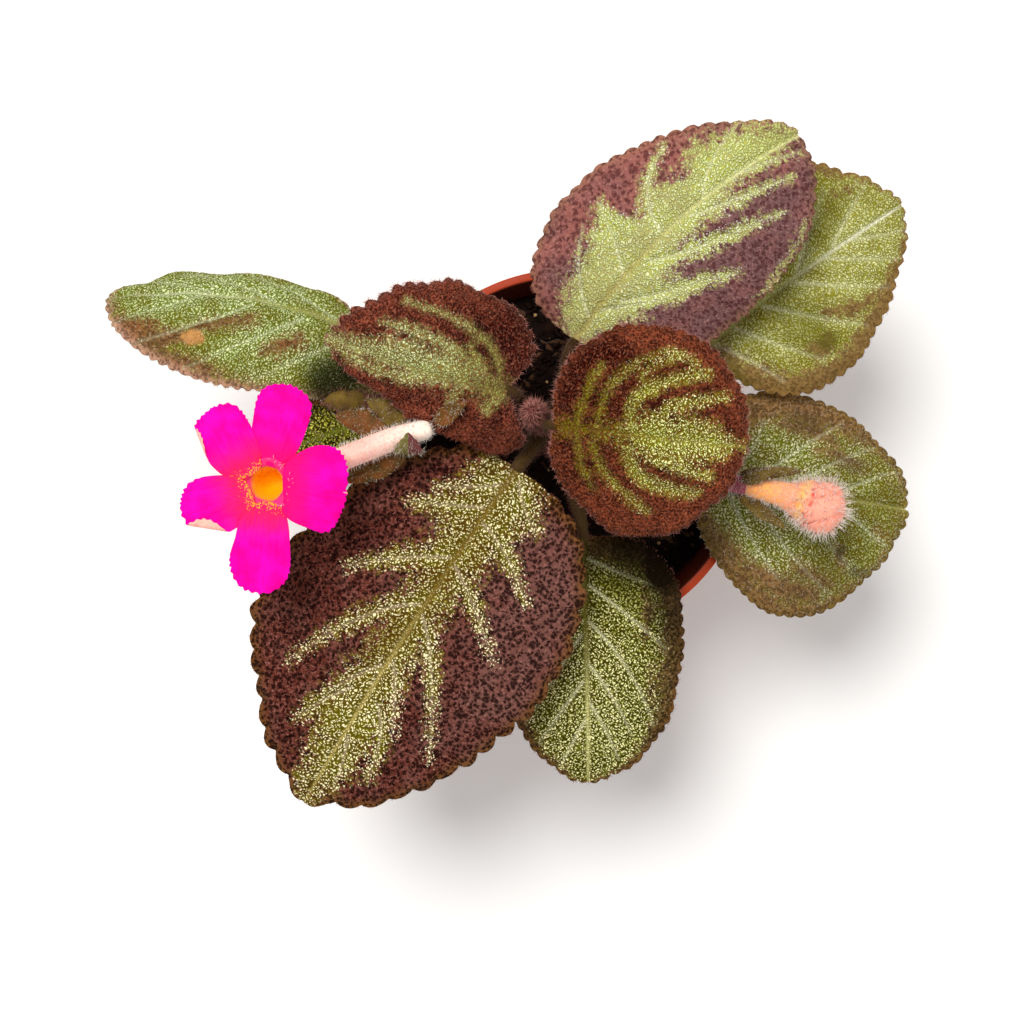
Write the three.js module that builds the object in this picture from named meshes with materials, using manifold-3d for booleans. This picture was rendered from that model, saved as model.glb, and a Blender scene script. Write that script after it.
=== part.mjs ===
// A potted pink panther episcia: a nursery pot with its soil, one short stem that carries every leaf
// on its own petiole, an open flower, a bud and a young bud.
// Millimetres, +Z up. The origin is the centre of the pot's base, where it stands.
import * as THREE from "three";
import { mergeVertices } from "three/addons/utils/BufferGeometryUtils.js";
import Module from "manifold-3d";

// Driving dimensions of the pot
const potHeight = 72;
const rimRadius = 42.5;
const rimBand = 9; // height of the thicker band under the rim
const wall = 1.4;
const bandStep = 1.3; // how far the band stands out of the wall
const footRadius = 29;
const padRadius = 10; // middle of the base, which touches the surface
const channelRadius = 22; // the drain holes lie between the pad and this radius
const channelDepth = 1.6;
const drainHoles = 6;
const drainRadius = 3;
const drainCircle = 16;
const roundSides = 48;

// Driving dimensions of the soil and the stem
const soilTop = 62.5;
const soilCrown = 0.8; // the soil stands this much higher in the middle
const seat = 0.3; // clearance between pieces that touch
const stemFoot = 50;
const stemFootRadius = 3.4;
const stemTipRadius = 2.4;
const stemClearance = 0.75; // the stem leans, so its side is nearer than this to the rods that leave it
const stemLean = 135; // azimuth of the lean, in degrees

// Thickness of the thin pieces
const bladeThickness = 1.1;
const petalThickness = 0.7;
const sepalThickness = 0.7;

const radians = THREE.MathUtils.degToRad;
const plant = new THREE.Group();

const finishes = {
  pot: new THREE.MeshStandardMaterial({ color: "#d2542c", roughness: 0.5, metalness: 0 }),
  soil: new THREE.MeshStandardMaterial({ color: "#1a100c", roughness: 0.95, metalness: 0 }),
  stem: new THREE.MeshStandardMaterial({ color: "#8a5a48", roughness: 0.75, metalness: 0 }),
  petiole: new THREE.MeshStandardMaterial({ color: "#8f7440", roughness: 0.7, metalness: 0 }),
  bronzeLeaf: new THREE.MeshStandardMaterial({ color: "#5a3634", roughness: 0.7, metalness: 0 }),
  greenLeaf: new THREE.MeshStandardMaterial({ color: "#7f9a3c", roughness: 0.7, metalness: 0 }),
  petal: new THREE.MeshStandardMaterial({ color: "#ff10b0", roughness: 0.6, metalness: 0 }),
  tube: new THREE.MeshStandardMaterial({ color: "#f9d8c8", roughness: 0.6, metalness: 0 }),
  bud: new THREE.MeshStandardMaterial({ color: "#f6a57e", roughness: 0.6, metalness: 0 }),
  sepal: new THREE.MeshStandardMaterial({ color: "#6a5a24", roughness: 0.7, metalness: 0 }),
};

// Adds one piece of the plant under its own name.
function addPiece(name, geometry, finish) {
  const piece = new THREE.Mesh(geometry, finish);
  piece.name = name;
  plant.add(piece);
  return piece;
}

function point(x, y, z) {
  return new THREE.Vector3(x, y, z);
}

// The pot: a turned shell. Its foot stands on an outer ring and a middle pad, and the channel between
// them is raised, so that water runs out of the drain holes.
const wasm = await Module();
wasm.setup();

function solidOf(geometry) {
  const bare = geometry.clone();
  bare.deleteAttribute("normal");
  bare.deleteAttribute("uv");
  const merged = mergeVertices(bare, 1e-4);
  return new wasm.Manifold(
    new wasm.Mesh({
      numProp: 3,
      vertProperties: merged.attributes.position.array,
      triVerts: new Uint32Array(merged.index.array),
    }),
  );
}

function geometryOf(solid) {
  const mesh = solid.getMesh();
  const geometry = new THREE.BufferGeometry();
  geometry.setAttribute("position", new THREE.BufferAttribute(mesh.vertProperties, 3));
  geometry.setIndex(new THREE.BufferAttribute(mesh.triVerts, 1));
  geometry.computeVertexNormals();
  return geometry;
}

// A turned piece whose axis is +Z, from points of radius and height.
function turned(profile, sides = roundSides) {
  const points = profile.map(([radius, height]) => new THREE.Vector2(radius, height));
  return new THREE.LatheGeometry(points, sides).rotateX(Math.PI / 2);
}

const bandFoot = potHeight - rimBand;
const wallTopRadius = rimRadius - bandStep;
const wallSlope = (wallTopRadius - 0.6 - footRadius) / bandFoot;

// Outer radius of the plain wall at a height.
function wallRadius(height) {
  return footRadius + wallSlope * height;
}

const potProfile = [
  [0, 0],
  [padRadius, 0],
  [padRadius + 0.8, channelDepth],
  [channelRadius - 0.8, channelDepth],
  [channelRadius, 0],
  [footRadius - 0.8, 0],
  [footRadius, 0.8],
  [wallRadius(bandFoot), bandFoot],
  [rimRadius - 0.8, bandFoot + 0.4],
  [rimRadius, potHeight - 0.5],
  [rimRadius - 0.4, potHeight],
  [rimRadius - 1.5, potHeight],
  [rimRadius - 1.9, potHeight - 0.5],
  [wallRadius(bandFoot) - wall, bandFoot - 1],
  [wallRadius(channelDepth + wall) - wall, channelDepth + wall],
  [0, channelDepth + wall],
];
const drainLength = channelDepth + wall + 2;
const drains = [];
for (let i = 0; i < drainHoles; i += 1) {
  const angle = (2 * Math.PI * i) / drainHoles;
  const drill = new THREE.CylinderGeometry(drainRadius, drainRadius, drainLength, 16).rotateX(Math.PI / 2);
  drill.translate(drainCircle * Math.cos(angle), drainCircle * Math.sin(angle), drainLength / 2 - 0.5);
  drains.push(solidOf(drill));
}
const drained = drains.reduce((shell, drill) => shell.subtract(drill), solidOf(turned(potProfile)));
addPiece("pot", geometryOf(drained), finishes.pot);

// The soil fills the pot up to a little below the rim, and holds the foot of the stem in a pit.
const pitRadius = stemFootRadius + seat;
const soilFoot = channelDepth + wall + seat;
const soilSideGap = wall + seat;
const soilProfile = [
  [0, soilFoot],
  [wallRadius(soilFoot) - soilSideGap, soilFoot],
  [wallRadius(soilTop) - soilSideGap, soilTop - 1],
  [wallRadius(soilTop) - soilSideGap - 3, soilTop],
  [14, soilTop + soilCrown],
  [pitRadius, soilTop + soilCrown],
  [pitRadius, stemFoot - seat],
  [0, stemFoot - seat],
];
addPiece("soil", turned(soilProfile, 40), finishes.soil);

// A rod along a curve: rings of a cylinder are carried to the curve's frames. Each radius in the list
// holds at an even share of the curve's length.
function rodAlong(points, radii, sides, steps) {
  const curve = new THREE.CatmullRomCurve3(points);
  const frames = curve.computeFrenetFrames(steps, false);
  const rod = new THREE.CylinderGeometry(1, 1, 1, sides, steps);
  const position = rod.attributes.position;
  const spot = new THREE.Vector3();
  for (let i = 0; i < position.count; i += 1) {
    const share = position.getY(i) + 0.5;
    const ring = Math.round(share * steps);
    const place = share * (radii.length - 1);
    const low = Math.min(Math.floor(place), radii.length - 2);
    const radius = THREE.MathUtils.lerp(radii[low], radii[low + 1], place - low);
    spot.copy(curve.getPointAt(ring / steps));
    spot.addScaledVector(frames.normals[ring], position.getX(i) * radius);
    spot.addScaledVector(frames.binormals[ring], -position.getZ(i) * radius);
    position.setXYZ(i, spot.x, spot.y, spot.z);
  }
  rod.computeVertexNormals();
  return rod;
}

// The stem stands in the soil and leans a little towards the back left.
const stemPoints = [
  point(0, 0, stemFoot),
  point(0, 0, 57),
  point(0, 0, 64),
  point(-2.5, 2.5, 76),
  point(-5.5, 5.5, 91),
  point(-8, 7.8, 105),
];
addPiece("stem", rodAlong(stemPoints, [stemFootRadius, stemTipRadius], 12, 16), finishes.stem);
const crownPoints = [point(-8, 7.8, 105.6), point(-8.1, 7.9, 107.5), point(-8.3, 8, 110)];
addPiece("crown_tip", rodAlong(crownPoints, [2, 1.9, 0.6], 10, 6), finishes.stem);

// The point just clear of the stem's side, at a height and in a level direction.
function leaveStem(height, azimuth) {
  let low = 0;
  while (stemPoints[low + 1].z < height) low += 1;
  const from = stemPoints[low];
  const to = stemPoints[low + 1];
  const centre = from.clone().lerp(to, (height - from.z) / (to.z - from.z));
  const share = (height - stemFoot) / (stemPoints.at(-1).z - stemFoot);
  const leaning = Math.max(0, Math.cos(radians(azimuth - stemLean)));
  const clearance = stemClearance * (1 + 0.4 * leaning);
  const reach = THREE.MathUtils.lerp(stemFootRadius, stemTipRadius, share) + clearance;
  return centre.addScaledVector(levelWay(azimuth), reach);
}

function levelWay(azimuth) {
  return point(Math.cos(radians(azimuth)), Math.sin(radians(azimuth)), 0);
}

// A leaf blade, petal or sepal is a flattened ball spread over a flat outline, then bent in space.
// The outline runs from the base round the tip: egg moves its widest place towards the tip, full
// squares its sides, and notch sets the base back between two round lobes.
// In space the midrib leaves the base at a heading and a pitch. Over its length it swings sideways and
// droops, the blade rolls about it by roll and then twist, and cup turns both sides down to the margin.
const plainShape = {
  swing: 0, roll: 0, twist: 0, cup: 14, eggLeft: 0, eggRight: 0, fullLeft: 0, fullRight: 0,
  notch: 0, notchWidth: 0.35, thickness: bladeThickness, around: 30, rings: 10,
};

function outlinePoint(shape, angle) {
  const ahead = Math.cos(angle);
  const side = Math.sin(angle);
  const left = side > 0;
  const half = left ? shape.left : shape.right;
  const egg = left ? shape.eggLeft : shape.eggRight;
  const full = left ? shape.fullLeft : shape.fullRight;
  const fromBase = Math.acos(-ahead);
  const setBack = shape.notch * (1 - Math.exp(-((fromBase / shape.notchWidth) ** 2)));
  const along = shape.length * (0.5 + 0.5 * ahead) - setBack;
  const across = half * side * (1 + egg * ahead - full * (2 * ahead * ahead - 1));
  return new THREE.Vector2(along, across);
}

function headingAt(shape, share) {
  return radians(shape.azimuth + shape.swing * share);
}

function midribDirection(shape, share) {
  const heading = headingAt(shape, share);
  const pitch = radians(shape.pitch - shape.droop * share);
  const flat = Math.cos(pitch);
  return point(flat * Math.cos(heading), flat * Math.sin(heading), Math.sin(pitch));
}

function midribPoint(shape, along) {
  const steps = 24;
  const step = along / steps;
  const spot = shape.base.clone();
  for (let i = 0; i < steps; i += 1) {
    spot.addScaledVector(midribDirection(shape, ((i + 0.5) * step) / shape.length), step);
  }
  return spot;
}

function bladePoint(shape, along, across, rise) {
  const share = along / shape.length;
  const ahead = midribDirection(shape, share);
  const heading = headingAt(shape, share);
  const level = point(-Math.sin(heading), Math.cos(heading), 0);
  const upright = ahead.clone().cross(level);
  const roll = radians(shape.roll + shape.twist * share);
  const side = level.clone().multiplyScalar(Math.cos(roll)).addScaledVector(upright, Math.sin(roll));
  const up = upright.multiplyScalar(Math.cos(roll)).addScaledVector(level, -Math.sin(roll));
  const turnPerMm = radians(shape.cup) / ((shape.left + shape.right) / 2);
  const turn = turnPerMm * across;
  return midribPoint(shape, along)
    .addScaledVector(side, Math.sin(turn) / turnPerMm + rise * Math.sin(turn))
    .addScaledVector(up, (Math.cos(turn) - 1) / turnPerMm + rise * Math.cos(turn));
}

function bladeGeometry(given) {
  const shape = { ...plainShape, ...given };
  const ball = new THREE.SphereGeometry(1, shape.around, shape.rings);
  const middle = new THREE.Vector2(0.5 * shape.length - shape.notch, 0);
  const position = ball.attributes.position;
  for (let i = 0; i < position.count; i += 1) {
    const height = position.getY(i);
    const fromPole = Math.acos(THREE.MathUtils.clamp(Math.abs(height), 0, 1));
    const ring = fromPole / (Math.PI / 2);
    const angle = Math.atan2(-position.getZ(i), position.getX(i));
    const flat = middle.clone().lerp(outlinePoint(shape, angle), ring);
    const rise = Math.sign(height) * 0.5 * shape.thickness * Math.sqrt(1 - ring * ring);
    const spot = bladePoint(shape, flat.x, flat.y, ring > 0.999 ? 0 : rise);
    position.setXYZ(i, spot.x, spot.y, spot.z);
  }
  ball.computeVertexNormals();
  return ball;
}

// A petiole leaves the stem level, climbs and meets its blade along the midrib.
function petioleGeometry(leaf, from) {
  const ahead = midribDirection({ ...plainShape, ...leaf }, 0);
  const end = leaf.base.clone().addScaledVector(ahead, -(1.6 * seat + 0.06 * leaf.notch));
  const start = leaveStem(from.height, from.azimuth);
  const way = levelWay(from.azimuth);
  const reach = start.distanceTo(end) / 3;
  const curve = new THREE.CubicBezierCurve3(
    start,
    start.clone().addScaledVector(way, reach).add(point(0, 0, 0.2 * reach)),
    end.clone().addScaledVector(ahead, -reach),
    end,
  );
  const steps = Math.max(4, Math.round(start.distanceTo(end) / 4));
  return rodAlong(curve.getPoints(8), [from.radius, 0.85 * from.radius], 8, steps);
}

// The leaves, from the oldest, which leave the stem lowest, to the youngest pair at the top.
const leaves = {
  back_right: {
    finish: finishes.greenLeaf, stalk: { height: 76, azimuth: 36, radius: 1.5 },
    base: point(30.5, 23, 82), azimuth: 40, swing: -8, pitch: 8, droop: 26, length: 59,
    left: 28, right: 23, eggLeft: -0.36, eggRight: -0.33, fullLeft: 0.11, fullRight: 0.04, notch: 0.5,
  },
  front_right: {
    finish: finishes.greenLeaf, stalk: { height: 77, azimuth: -72, radius: 1.5 },
    base: point(3.5, -19, 83), azimuth: -88, swing: -1, pitch: 4, droop: 26, length: 60,
    left: 24.5, right: 21, eggLeft: -0.14, eggRight: -0.15, fullLeft: -0.1, fullRight: 0.03, notch: 2,
  },
  small: {
    finish: finishes.greenLeaf, stalk: { height: 79, azimuth: 188, radius: 1.1 },
    base: point(-47, 6.5, 85), azimuth: 200, pitch: 6, droop: 20, length: 25,
    left: 9, right: 9, eggLeft: -0.1, eggRight: -0.1, notch: 2,
  },
  right: {
    finish: finishes.greenLeaf, stalk: { height: 81, azimuth: -12, radius: 1.5 },
    base: point(37, -7, 78), azimuth: -6.5, swing: -4, pitch: 2, droop: 26, length: 54.5,
    left: 22.5, right: 24.5, eggLeft: -0.19, eggRight: 0.14, fullRight: 0.19, notch: 11,
  },
  left: {
    finish: finishes.greenLeaf, stalk: { height: 83, azimuth: 158, radius: 1.5 },
    base: point(-43.5, 25, 87), azimuth: 154, swing: 35, pitch: 8, droop: 20, roll: 36, twist: 20,
    cup: 38, length: 62, left: 22.5, right: 12.6, eggRight: 0.25, notch: 0.7,
  },
  back: {
    finish: finishes.bronzeLeaf, stalk: { height: 88, azimuth: 62, radius: 1.6 },
    base: point(1.5, 24.5, 92), azimuth: 56, swing: -29, pitch: 22, droop: 30, cup: 16, length: 70,
    left: 19, right: 27, eggLeft: -0.45, fullLeft: 0.06, fullRight: -0.07, notch: 2.5,
  },
  front: {
    finish: finishes.bronzeLeaf, stalk: { height: 92, azimuth: -112, radius: 1.7 },
    base: point(-11.5, -4, 99), azimuth: -125, swing: 5, pitch: 4, droop: 22, length: 90.5,
    left: 33, right: 30, eggLeft: -0.12, eggRight: 0.06, fullRight: 0.08, notch: 3, around: 36,
  },
  young_left: {
    finish: finishes.bronzeLeaf, stalk: { height: 101, azimuth: 140, radius: 1.3 },
    base: point(-13, 12, 112), azimuth: 173, swing: -27, pitch: 16, droop: 40, roll: -16, cup: 55,
    length: 52.5, left: 16.5, right: 19.5, eggLeft: -0.5, fullLeft: -0.17, fullRight: 0.16,
    notch: 11.8, notchWidth: 0.5,
  },
  young_right: {
    finish: finishes.bronzeLeaf, stalk: { height: 101, azimuth: -40, radius: 1.3 },
    base: point(-3.8, 4.8, 112), azimuth: -8, swing: 3, pitch: 14, droop: 34, roll: 12, cup: 38,
    length: 44.5, left: 24.5, right: 22, eggRight: 0.14, fullRight: 0.17, notch: 3,
  },
};
for (const [name, leaf] of Object.entries(leaves)) {
  addPiece(`petiole_${name}`, petioleGeometry(leaf, leaf.stalk), finishes.petiole);
  addPiece(`leaf_${name}`, bladeGeometry(leaf), leaf.finish);
}

// The open flower: a stalk with a swollen end under the tube, the hollow tube, five petals round its
// mouth and five sepals round its foot.
const tubePoints = [
  point(-29.5, 4.5, 109.5),
  point(-36, 2.5, 109.6),
  point(-49, -2.5, 110.2),
  point(-57.6, -5.7, 111),
  point(-62.3, -7.3, 114),
  point(-63.2, -7.6, 117.5),
];
const tubeRadii = [1.2, 2.5, 2.4, 2.4, 2.4, 2.5, 2.7, 3, 3.4, 4];
const boreRadii = [1.2, 1.6, 1.6, 1.6, 1.7, 1.9, 2.3, 2.9, 3.5];
const tubeSides = 14;
const tubeSteps = 18;

// The bore starts past the closed foot of the tube and runs out through its mouth.
function tubeGeometry() {
  const outer = rodAlong(tubePoints, tubeRadii, tubeSides, tubeSteps);
  const curve = new THREE.CatmullRomCurve3(tubePoints);
  const borePoints = [];
  for (let i = 2; i <= tubeSteps; i += 1) borePoints.push(curve.getPointAt(i / tubeSteps));
  const mouthWay = curve.getTangentAt(1);
  borePoints.push(tubePoints.at(-1).clone().addScaledVector(mouthWay, 1));
  const inner = rodAlong(borePoints, boreRadii, tubeSides, tubeSteps);
  return geometryOf(solidOf(outer).subtract(solidOf(inner)));
}
addPiece("flower_tube", tubeGeometry(), finishes.tube);

const flowerStalkPoints = [
  leaveStem(96, 186),
  point(-18, 6.2, 98),
  point(-28, 5.2, 99),
  point(-33, 4, 102),
  point(-34, 3.3, 106.5),
];
addPiece("flower_stalk", rodAlong(flowerStalkPoints, [1, 0.9, 0.9, 1, 2], 8, 12), finishes.petiole);

const throat = tubePoints.at(-1);
const petals = {
  top_right: { seatAngle: 78, reach: 4.3, azimuth: 76, rise: -0.2, length: 17.2, left: 6.2, right: 6.2 },
  top_left: { seatAngle: 150, reach: 4.2, azimuth: 120, rise: 0.1, length: 15.8, left: 6, right: 5.1 },
  left: { seatAngle: 212, reach: 4.2, azimuth: 199, rise: -0.2, length: 14.6, left: 6.6, right: 6.4 },
  bottom: { seatAngle: 275, reach: 4.4, azimuth: 270, rise: 0, length: 18.7, left: 6.3, right: 6.1 },
  right: { seatAngle: 0, reach: 4.1, azimuth: -8, rise: 0.8, length: 13.3, left: 9.7, right: 9.4 },
};
for (const [name, petal] of Object.entries(petals)) {
  const base = levelWay(petal.seatAngle).multiplyScalar(petal.reach).add(throat);
  base.z += petal.rise;
  const shape = {
    ...petal, base, pitch: 22, droop: 40, cup: 16, eggLeft: 0.24, eggRight: 0.24,
    fullLeft: -0.12, fullRight: -0.12, thickness: petalThickness, around: 18, rings: 6,
  };
  addPiece(`petal_${name}`, bladeGeometry(shape), finishes.petal);
}

const sepalForm = { thickness: sepalThickness, around: 10, rings: 6, cup: 40, droop: 40 };
const calyx = flowerStalkPoints.at(-1);
const sepalDrop = 0.6; // the sepals start this far under the end of the stalk
const calyxSeat = 2.5; // distance from the middle of the swollen end to the foot of a sepal
// The back sepal lies against the closed foot of the tube, and the front one stands up beside the tube
// and bends over it.
const flowerSepals = {
  back: { out: 5.5, up: 5.2, seatAngle: 20, azimuth: 31, pitch: 36, droop: 20, cup: 20, length: 8.9, half: 1.9 },
  upper: { seatAngle: 118, azimuth: 146, pitch: 24, length: 9, half: 2.1 },
  inner: { seatAngle: 168, azimuth: 164, pitch: 2, droop: 20, length: 14, half: 2 },
  lower: { seatAngle: 236, azimuth: 217, pitch: 6, droop: 24, length: 11.5, half: 2.1 },
  front: { out: 4, seatAngle: 268, azimuth: 88, pitch: 114, droop: 88, cup: 16, length: 11, half: 2.9 },
};
for (const [name, sepal] of Object.entries(flowerSepals)) {
  const base = levelWay(sepal.seatAngle).multiplyScalar(sepal.out ?? calyxSeat).add(calyx);
  base.z += (sepal.up ?? 0) - sepalDrop;
  const shape = { ...sepalForm, ...sepal, base, left: sepal.half, right: sepal.half };
  addPiece(`sepal_${name}`, bladeGeometry(shape), finishes.sepal);
}

// The bud: a hairy stalk under the young right leaf, a slim tube with a round closed head, and its sepals.
const budStalkPoints = [
  leaveStem(98, -20),
  point(10, -1.4, 96.5),
  point(25, -4.8, 94),
  point(35, -6.9, 93),
  point(38.2, -7.5, 93),
];
addPiece("bud_stalk", rodAlong(budStalkPoints, [1.1, 1, 1, 1.3, 2.2], 8, 12), finishes.stem);
const budPoints = [
  point(38.6, -7.6, 93),
  point(44, -8.8, 93.4),
  point(50.5, -10.8, 94.8),
  point(56, -12.7, 96.2),
  point(59.8, -13.9, 96.8),
];
const budRadii = [2, 2.7, 2.6, 3, 4.6, 5.8, 5.6, 4.2, 0.8];
addPiece("bud_corolla", rodAlong(budPoints, budRadii, 14, 16), finishes.bud);

// The sepals of the bud stand round its foot, whose axis is nearly level: each seat angle is measured
// from the right of the bud, seen along it, over its top.
const budCalyx = budStalkPoints.at(-1);
const budSepals = {
  upper: { seatAngle: 24, reach: 2.9, azimuth: 3, pitch: 20, length: 13.5, half: 1.5 },
  back: { seatAngle: 75, reach: 2.8, azimuth: 18, pitch: 38, length: 9, half: 1.4 },
  lower: { seatAngle: 168, reach: 2.9, azimuth: -34, pitch: 8, length: 12.7, half: 1.7 },
  outer: { seatAngle: 232, reach: 2.8, azimuth: -30, pitch: -22, length: 9, half: 1.5 },
  under: { seatAngle: 288, reach: 2.8, azimuth: -8, pitch: -26, length: 12, half: 1.7 },
};
for (const [name, sepal] of Object.entries(budSepals)) {
  const angle = radians(sepal.seatAngle);
  const base = point(-seat, Math.cos(angle), Math.sin(angle)).multiplyScalar(sepal.reach).add(budCalyx);
  const shape = { ...sepalForm, ...sepal, base, left: sepal.half, right: sepal.half };
  addPiece(`bud_sepal_${name}`, bladeGeometry(shape), finishes.sepal);
}

// The young bud beside the flower's stalk, with a small brown bract at its side.
const youngStalkPoints = [
  leaveStem(90, 172),
  point(-20, 9.5, 92),
  point(-34, 10.6, 92.5),
  point(-44.5, 11, 92),
];
addPiece("young_bud_stalk", rodAlong(youngStalkPoints, [0.9, 0.8, 0.9], 8, 10), finishes.petiole);
const youngBudPoints = [point(-44.9, 11, 92), point(-49, 11.2, 92.3), point(-54, 11.2, 92)];
addPiece("young_bud", rodAlong(youngBudPoints, [1.4, 2.2, 2, 0.7], 10, 8), finishes.sepal);
const bract = {
  ...sepalForm, base: point(-54.7, 11.1, 91.1), azimuth: 158, pitch: 10, length: 7, left: 1.8, right: 1.8,
};
addPiece("bract", bladeGeometry(bract), finishes.sepal);

export default plant;
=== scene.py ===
import math

import bpy
import numpy as np
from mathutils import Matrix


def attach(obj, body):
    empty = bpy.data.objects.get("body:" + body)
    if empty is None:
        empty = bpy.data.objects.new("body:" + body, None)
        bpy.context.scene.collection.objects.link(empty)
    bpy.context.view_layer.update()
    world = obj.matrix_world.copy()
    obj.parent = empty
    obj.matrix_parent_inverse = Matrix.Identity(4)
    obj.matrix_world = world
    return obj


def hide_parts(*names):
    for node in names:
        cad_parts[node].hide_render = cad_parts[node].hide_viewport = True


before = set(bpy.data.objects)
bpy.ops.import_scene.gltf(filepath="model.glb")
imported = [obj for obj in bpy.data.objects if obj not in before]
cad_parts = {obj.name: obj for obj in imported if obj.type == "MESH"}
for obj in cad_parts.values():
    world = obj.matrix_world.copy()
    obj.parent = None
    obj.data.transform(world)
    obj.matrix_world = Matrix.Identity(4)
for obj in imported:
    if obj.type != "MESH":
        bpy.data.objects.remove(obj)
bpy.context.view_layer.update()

# An episcia in its nursery pot, seen from straight above.
# Shapes are worked out in millimetres and become metres when a mesh is made.
mm = 0.001
bladeSpacing = 0.34  # grid step over a leaf blade
hairShare = 1.0


def linear(hexText):
    # sRGB to linear: c / 12.92 up to 0.04045, else ((c + 0.055) / 1.055) to the power 2.4
    channels = [int(hexText[i:i + 2], 16) / 255 for i in (1, 3, 5)]
    return [c / 12.92 if c <= 0.04045 else ((c + 0.055) / 1.055) ** 2.4 for c in channels] + [1.0]


def fillNode(node, settings):
    # Sets a node's properties and inputs. On an input, a text is a hex colour, a socket is linked in, and
    # a node is linked in by its first open output.
    for key, value in settings.items():
        if isinstance(key, str) and hasattr(node, key):
            setattr(node, key, value)
            continue
        if isinstance(value, bpy.types.Node):
            value = next(output for output in value.outputs if output.enabled)
        if isinstance(value, bpy.types.NodeSocket):
            node.id_data.links.new(value, node.inputs[key])
        else:
            node.inputs[key].default_value = linear(value) if isinstance(value, str) else value
    return node


def addNode(tree, kind, settings):
    return fillNode(tree.nodes.new("ShaderNode" + kind), settings)


def newMaterial(name, settings):
    # A material and its Principled shader, with the shader's constant sockets set.
    material = bpy.data.materials.new(name)
    material.use_nodes = True
    shader = fillNode(material.node_tree.nodes["Principled BSDF"], settings)
    return material, material.node_tree, shader


def smoothStep(low, high, value):
    # 0 below low, 1 above high, and 3t^2 - 2t^3 between them
    t = np.clip((value - low) / (high - low), 0, 1)
    return t * t * (3 - 2 * t)


def scatter(i, j, seed):
    # A fixed random number from 0 to 1 for each pair of whole numbers: the fraction of a large sine.
    value = np.sin(i * 127.1 + j * 311.7 + seed * 74.7) * 43758.5453
    return value - np.floor(value)


def cloudAt(x, y, size, seed):
    # Smooth random field from 0 to 1: lattice values joined by a cubic fade, one lattice step per size.
    u, v = x / size, y / size
    i, j = np.floor(u), np.floor(v)
    fu, fv = smoothStep(0, 1, u - i), smoothStep(0, 1, v - j)
    low = scatter(i, j, seed) * (1 - fu) + scatter(i + 1, j, seed) * fu
    high = scatter(i, j + 1, seed) * (1 - fu) + scatter(i + 1, j + 1, seed) * fu
    return low * (1 - fv) + high * fv


def cellsAt(x, y, pitch, seed):
    # Cells round jittered seeds, one to each square of the pitch: the distance to the nearest seed, in
    # pitches, and a random number for each cell.
    column, row = np.floor(x / pitch), np.floor(y / pitch)
    nearest = np.full(np.shape(x), 9.0)
    tone = np.zeros(np.shape(x))
    for i in (-1, 0, 1):
        for j in (-1, 0, 1):
            c, r = column + i, row + j
            seedX = c + 0.5 + 0.72 * (scatter(c, r, seed) - 0.5)
            seedY = r + 0.5 + 0.72 * (scatter(c, r, seed + 3) - 0.5)
            distance = np.hypot(x / pitch - seedX, y / pitch - seedY)
            tone = np.where(distance < nearest, scatter(c, r, seed + 7), tone)
            nearest = np.minimum(nearest, distance)
    return nearest, tone


def unit(vectors):
    return vectors / np.maximum(np.linalg.norm(vectors, axis=-1, keepdims=True), 1e-9)


def makePiece(name, points, faceSets, materials, replaced=(), masks=None, flat=None, faceSlots=None):
    # A mesh from points in millimetres and arrays of faces. Masks are colour attributes on its points,
    # and flat is a UV place for each point.
    mesh = bpy.data.meshes.new(name)
    corners = np.concatenate([f.ravel() for f in faceSets]).astype(np.int32)
    counts = np.concatenate([np.full(len(f), f.shape[1]) for f in faceSets])
    starts = np.concatenate([[0], np.cumsum(counts)[:-1]]).astype(np.int32)
    mesh.vertices.add(len(points))
    mesh.vertices.foreach_set("co", (np.asarray(points, float) * mm).astype(np.float32).ravel())
    mesh.loops.add(len(corners))
    mesh.loops.foreach_set("vertex_index", corners)
    mesh.polygons.add(len(counts))
    mesh.polygons.foreach_set("loop_start", starts)
    mesh.polygons.foreach_set("use_smooth", np.ones(len(counts), bool))
    if faceSlots is not None:
        mesh.polygons.foreach_set("material_index", faceSlots.astype(np.int32))
    for key, values in (masks or {}).items():
        layer = mesh.attributes.new(key, "FLOAT_COLOR", "POINT")
        colours = np.ones((len(points), 4), np.float32)
        colours[:, :values.shape[1]] = values
        layer.data.foreach_set("color", colours.ravel())
    if flat is not None:
        layer = mesh.uv_layers.new(name="flat")
        layer.data.foreach_set("uv", flat[corners].astype(np.float32).ravel())
    mesh.update(calc_edges=True)
    mesh.validate()
    for material in materials:
        mesh.materials.append(material)
    piece = bpy.data.objects.new(name, mesh)
    bpy.context.scene.collection.objects.link(piece)
    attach(piece, "root")
    if replaced:
        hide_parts(*replaced)
    return piece


def gridFaces(rows, columns, wrap=False, flip=False):
    # Quads of a grid of points stored row by row, closed round the columns where it wraps.
    i, j = np.meshgrid(np.arange(rows - 1), np.arange(columns if wrap else columns - 1), indexing="ij")
    k = (j + 1) % columns
    quads = np.stack([i * columns + j, (i + 1) * columns + j, (i + 1) * columns + k, i * columns + k], -1)
    quads = quads.reshape(-1, 4)
    return quads[:, ::-1] if flip else quads


def repeatFaces(faces, count, step):
    # The same few faces for each of a number of like shapes, whose points follow one another in steps.
    return (np.arange(count)[:, None, None] * step + np.array(faces)[None]).reshape(-1, len(faces[0]))


def turnsOf(sides):
    return np.linspace(0, 2 * np.pi, sides, endpoint=False)


def closedRings(count, sides):
    # Faces of rings of points, with a fan at each end. The two poles come after the rings.
    j = np.arange(sides)
    k = (j + 1) % sides
    last = (count - 1) * sides
    foot = np.stack([np.full(sides, count * sides), k, j], -1)
    tip = np.stack([last + j, last + k, np.full(sides, count * sides + 1)], -1)
    return [gridFaces(count, sides, wrap=True, flip=True), foot, tip]


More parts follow.
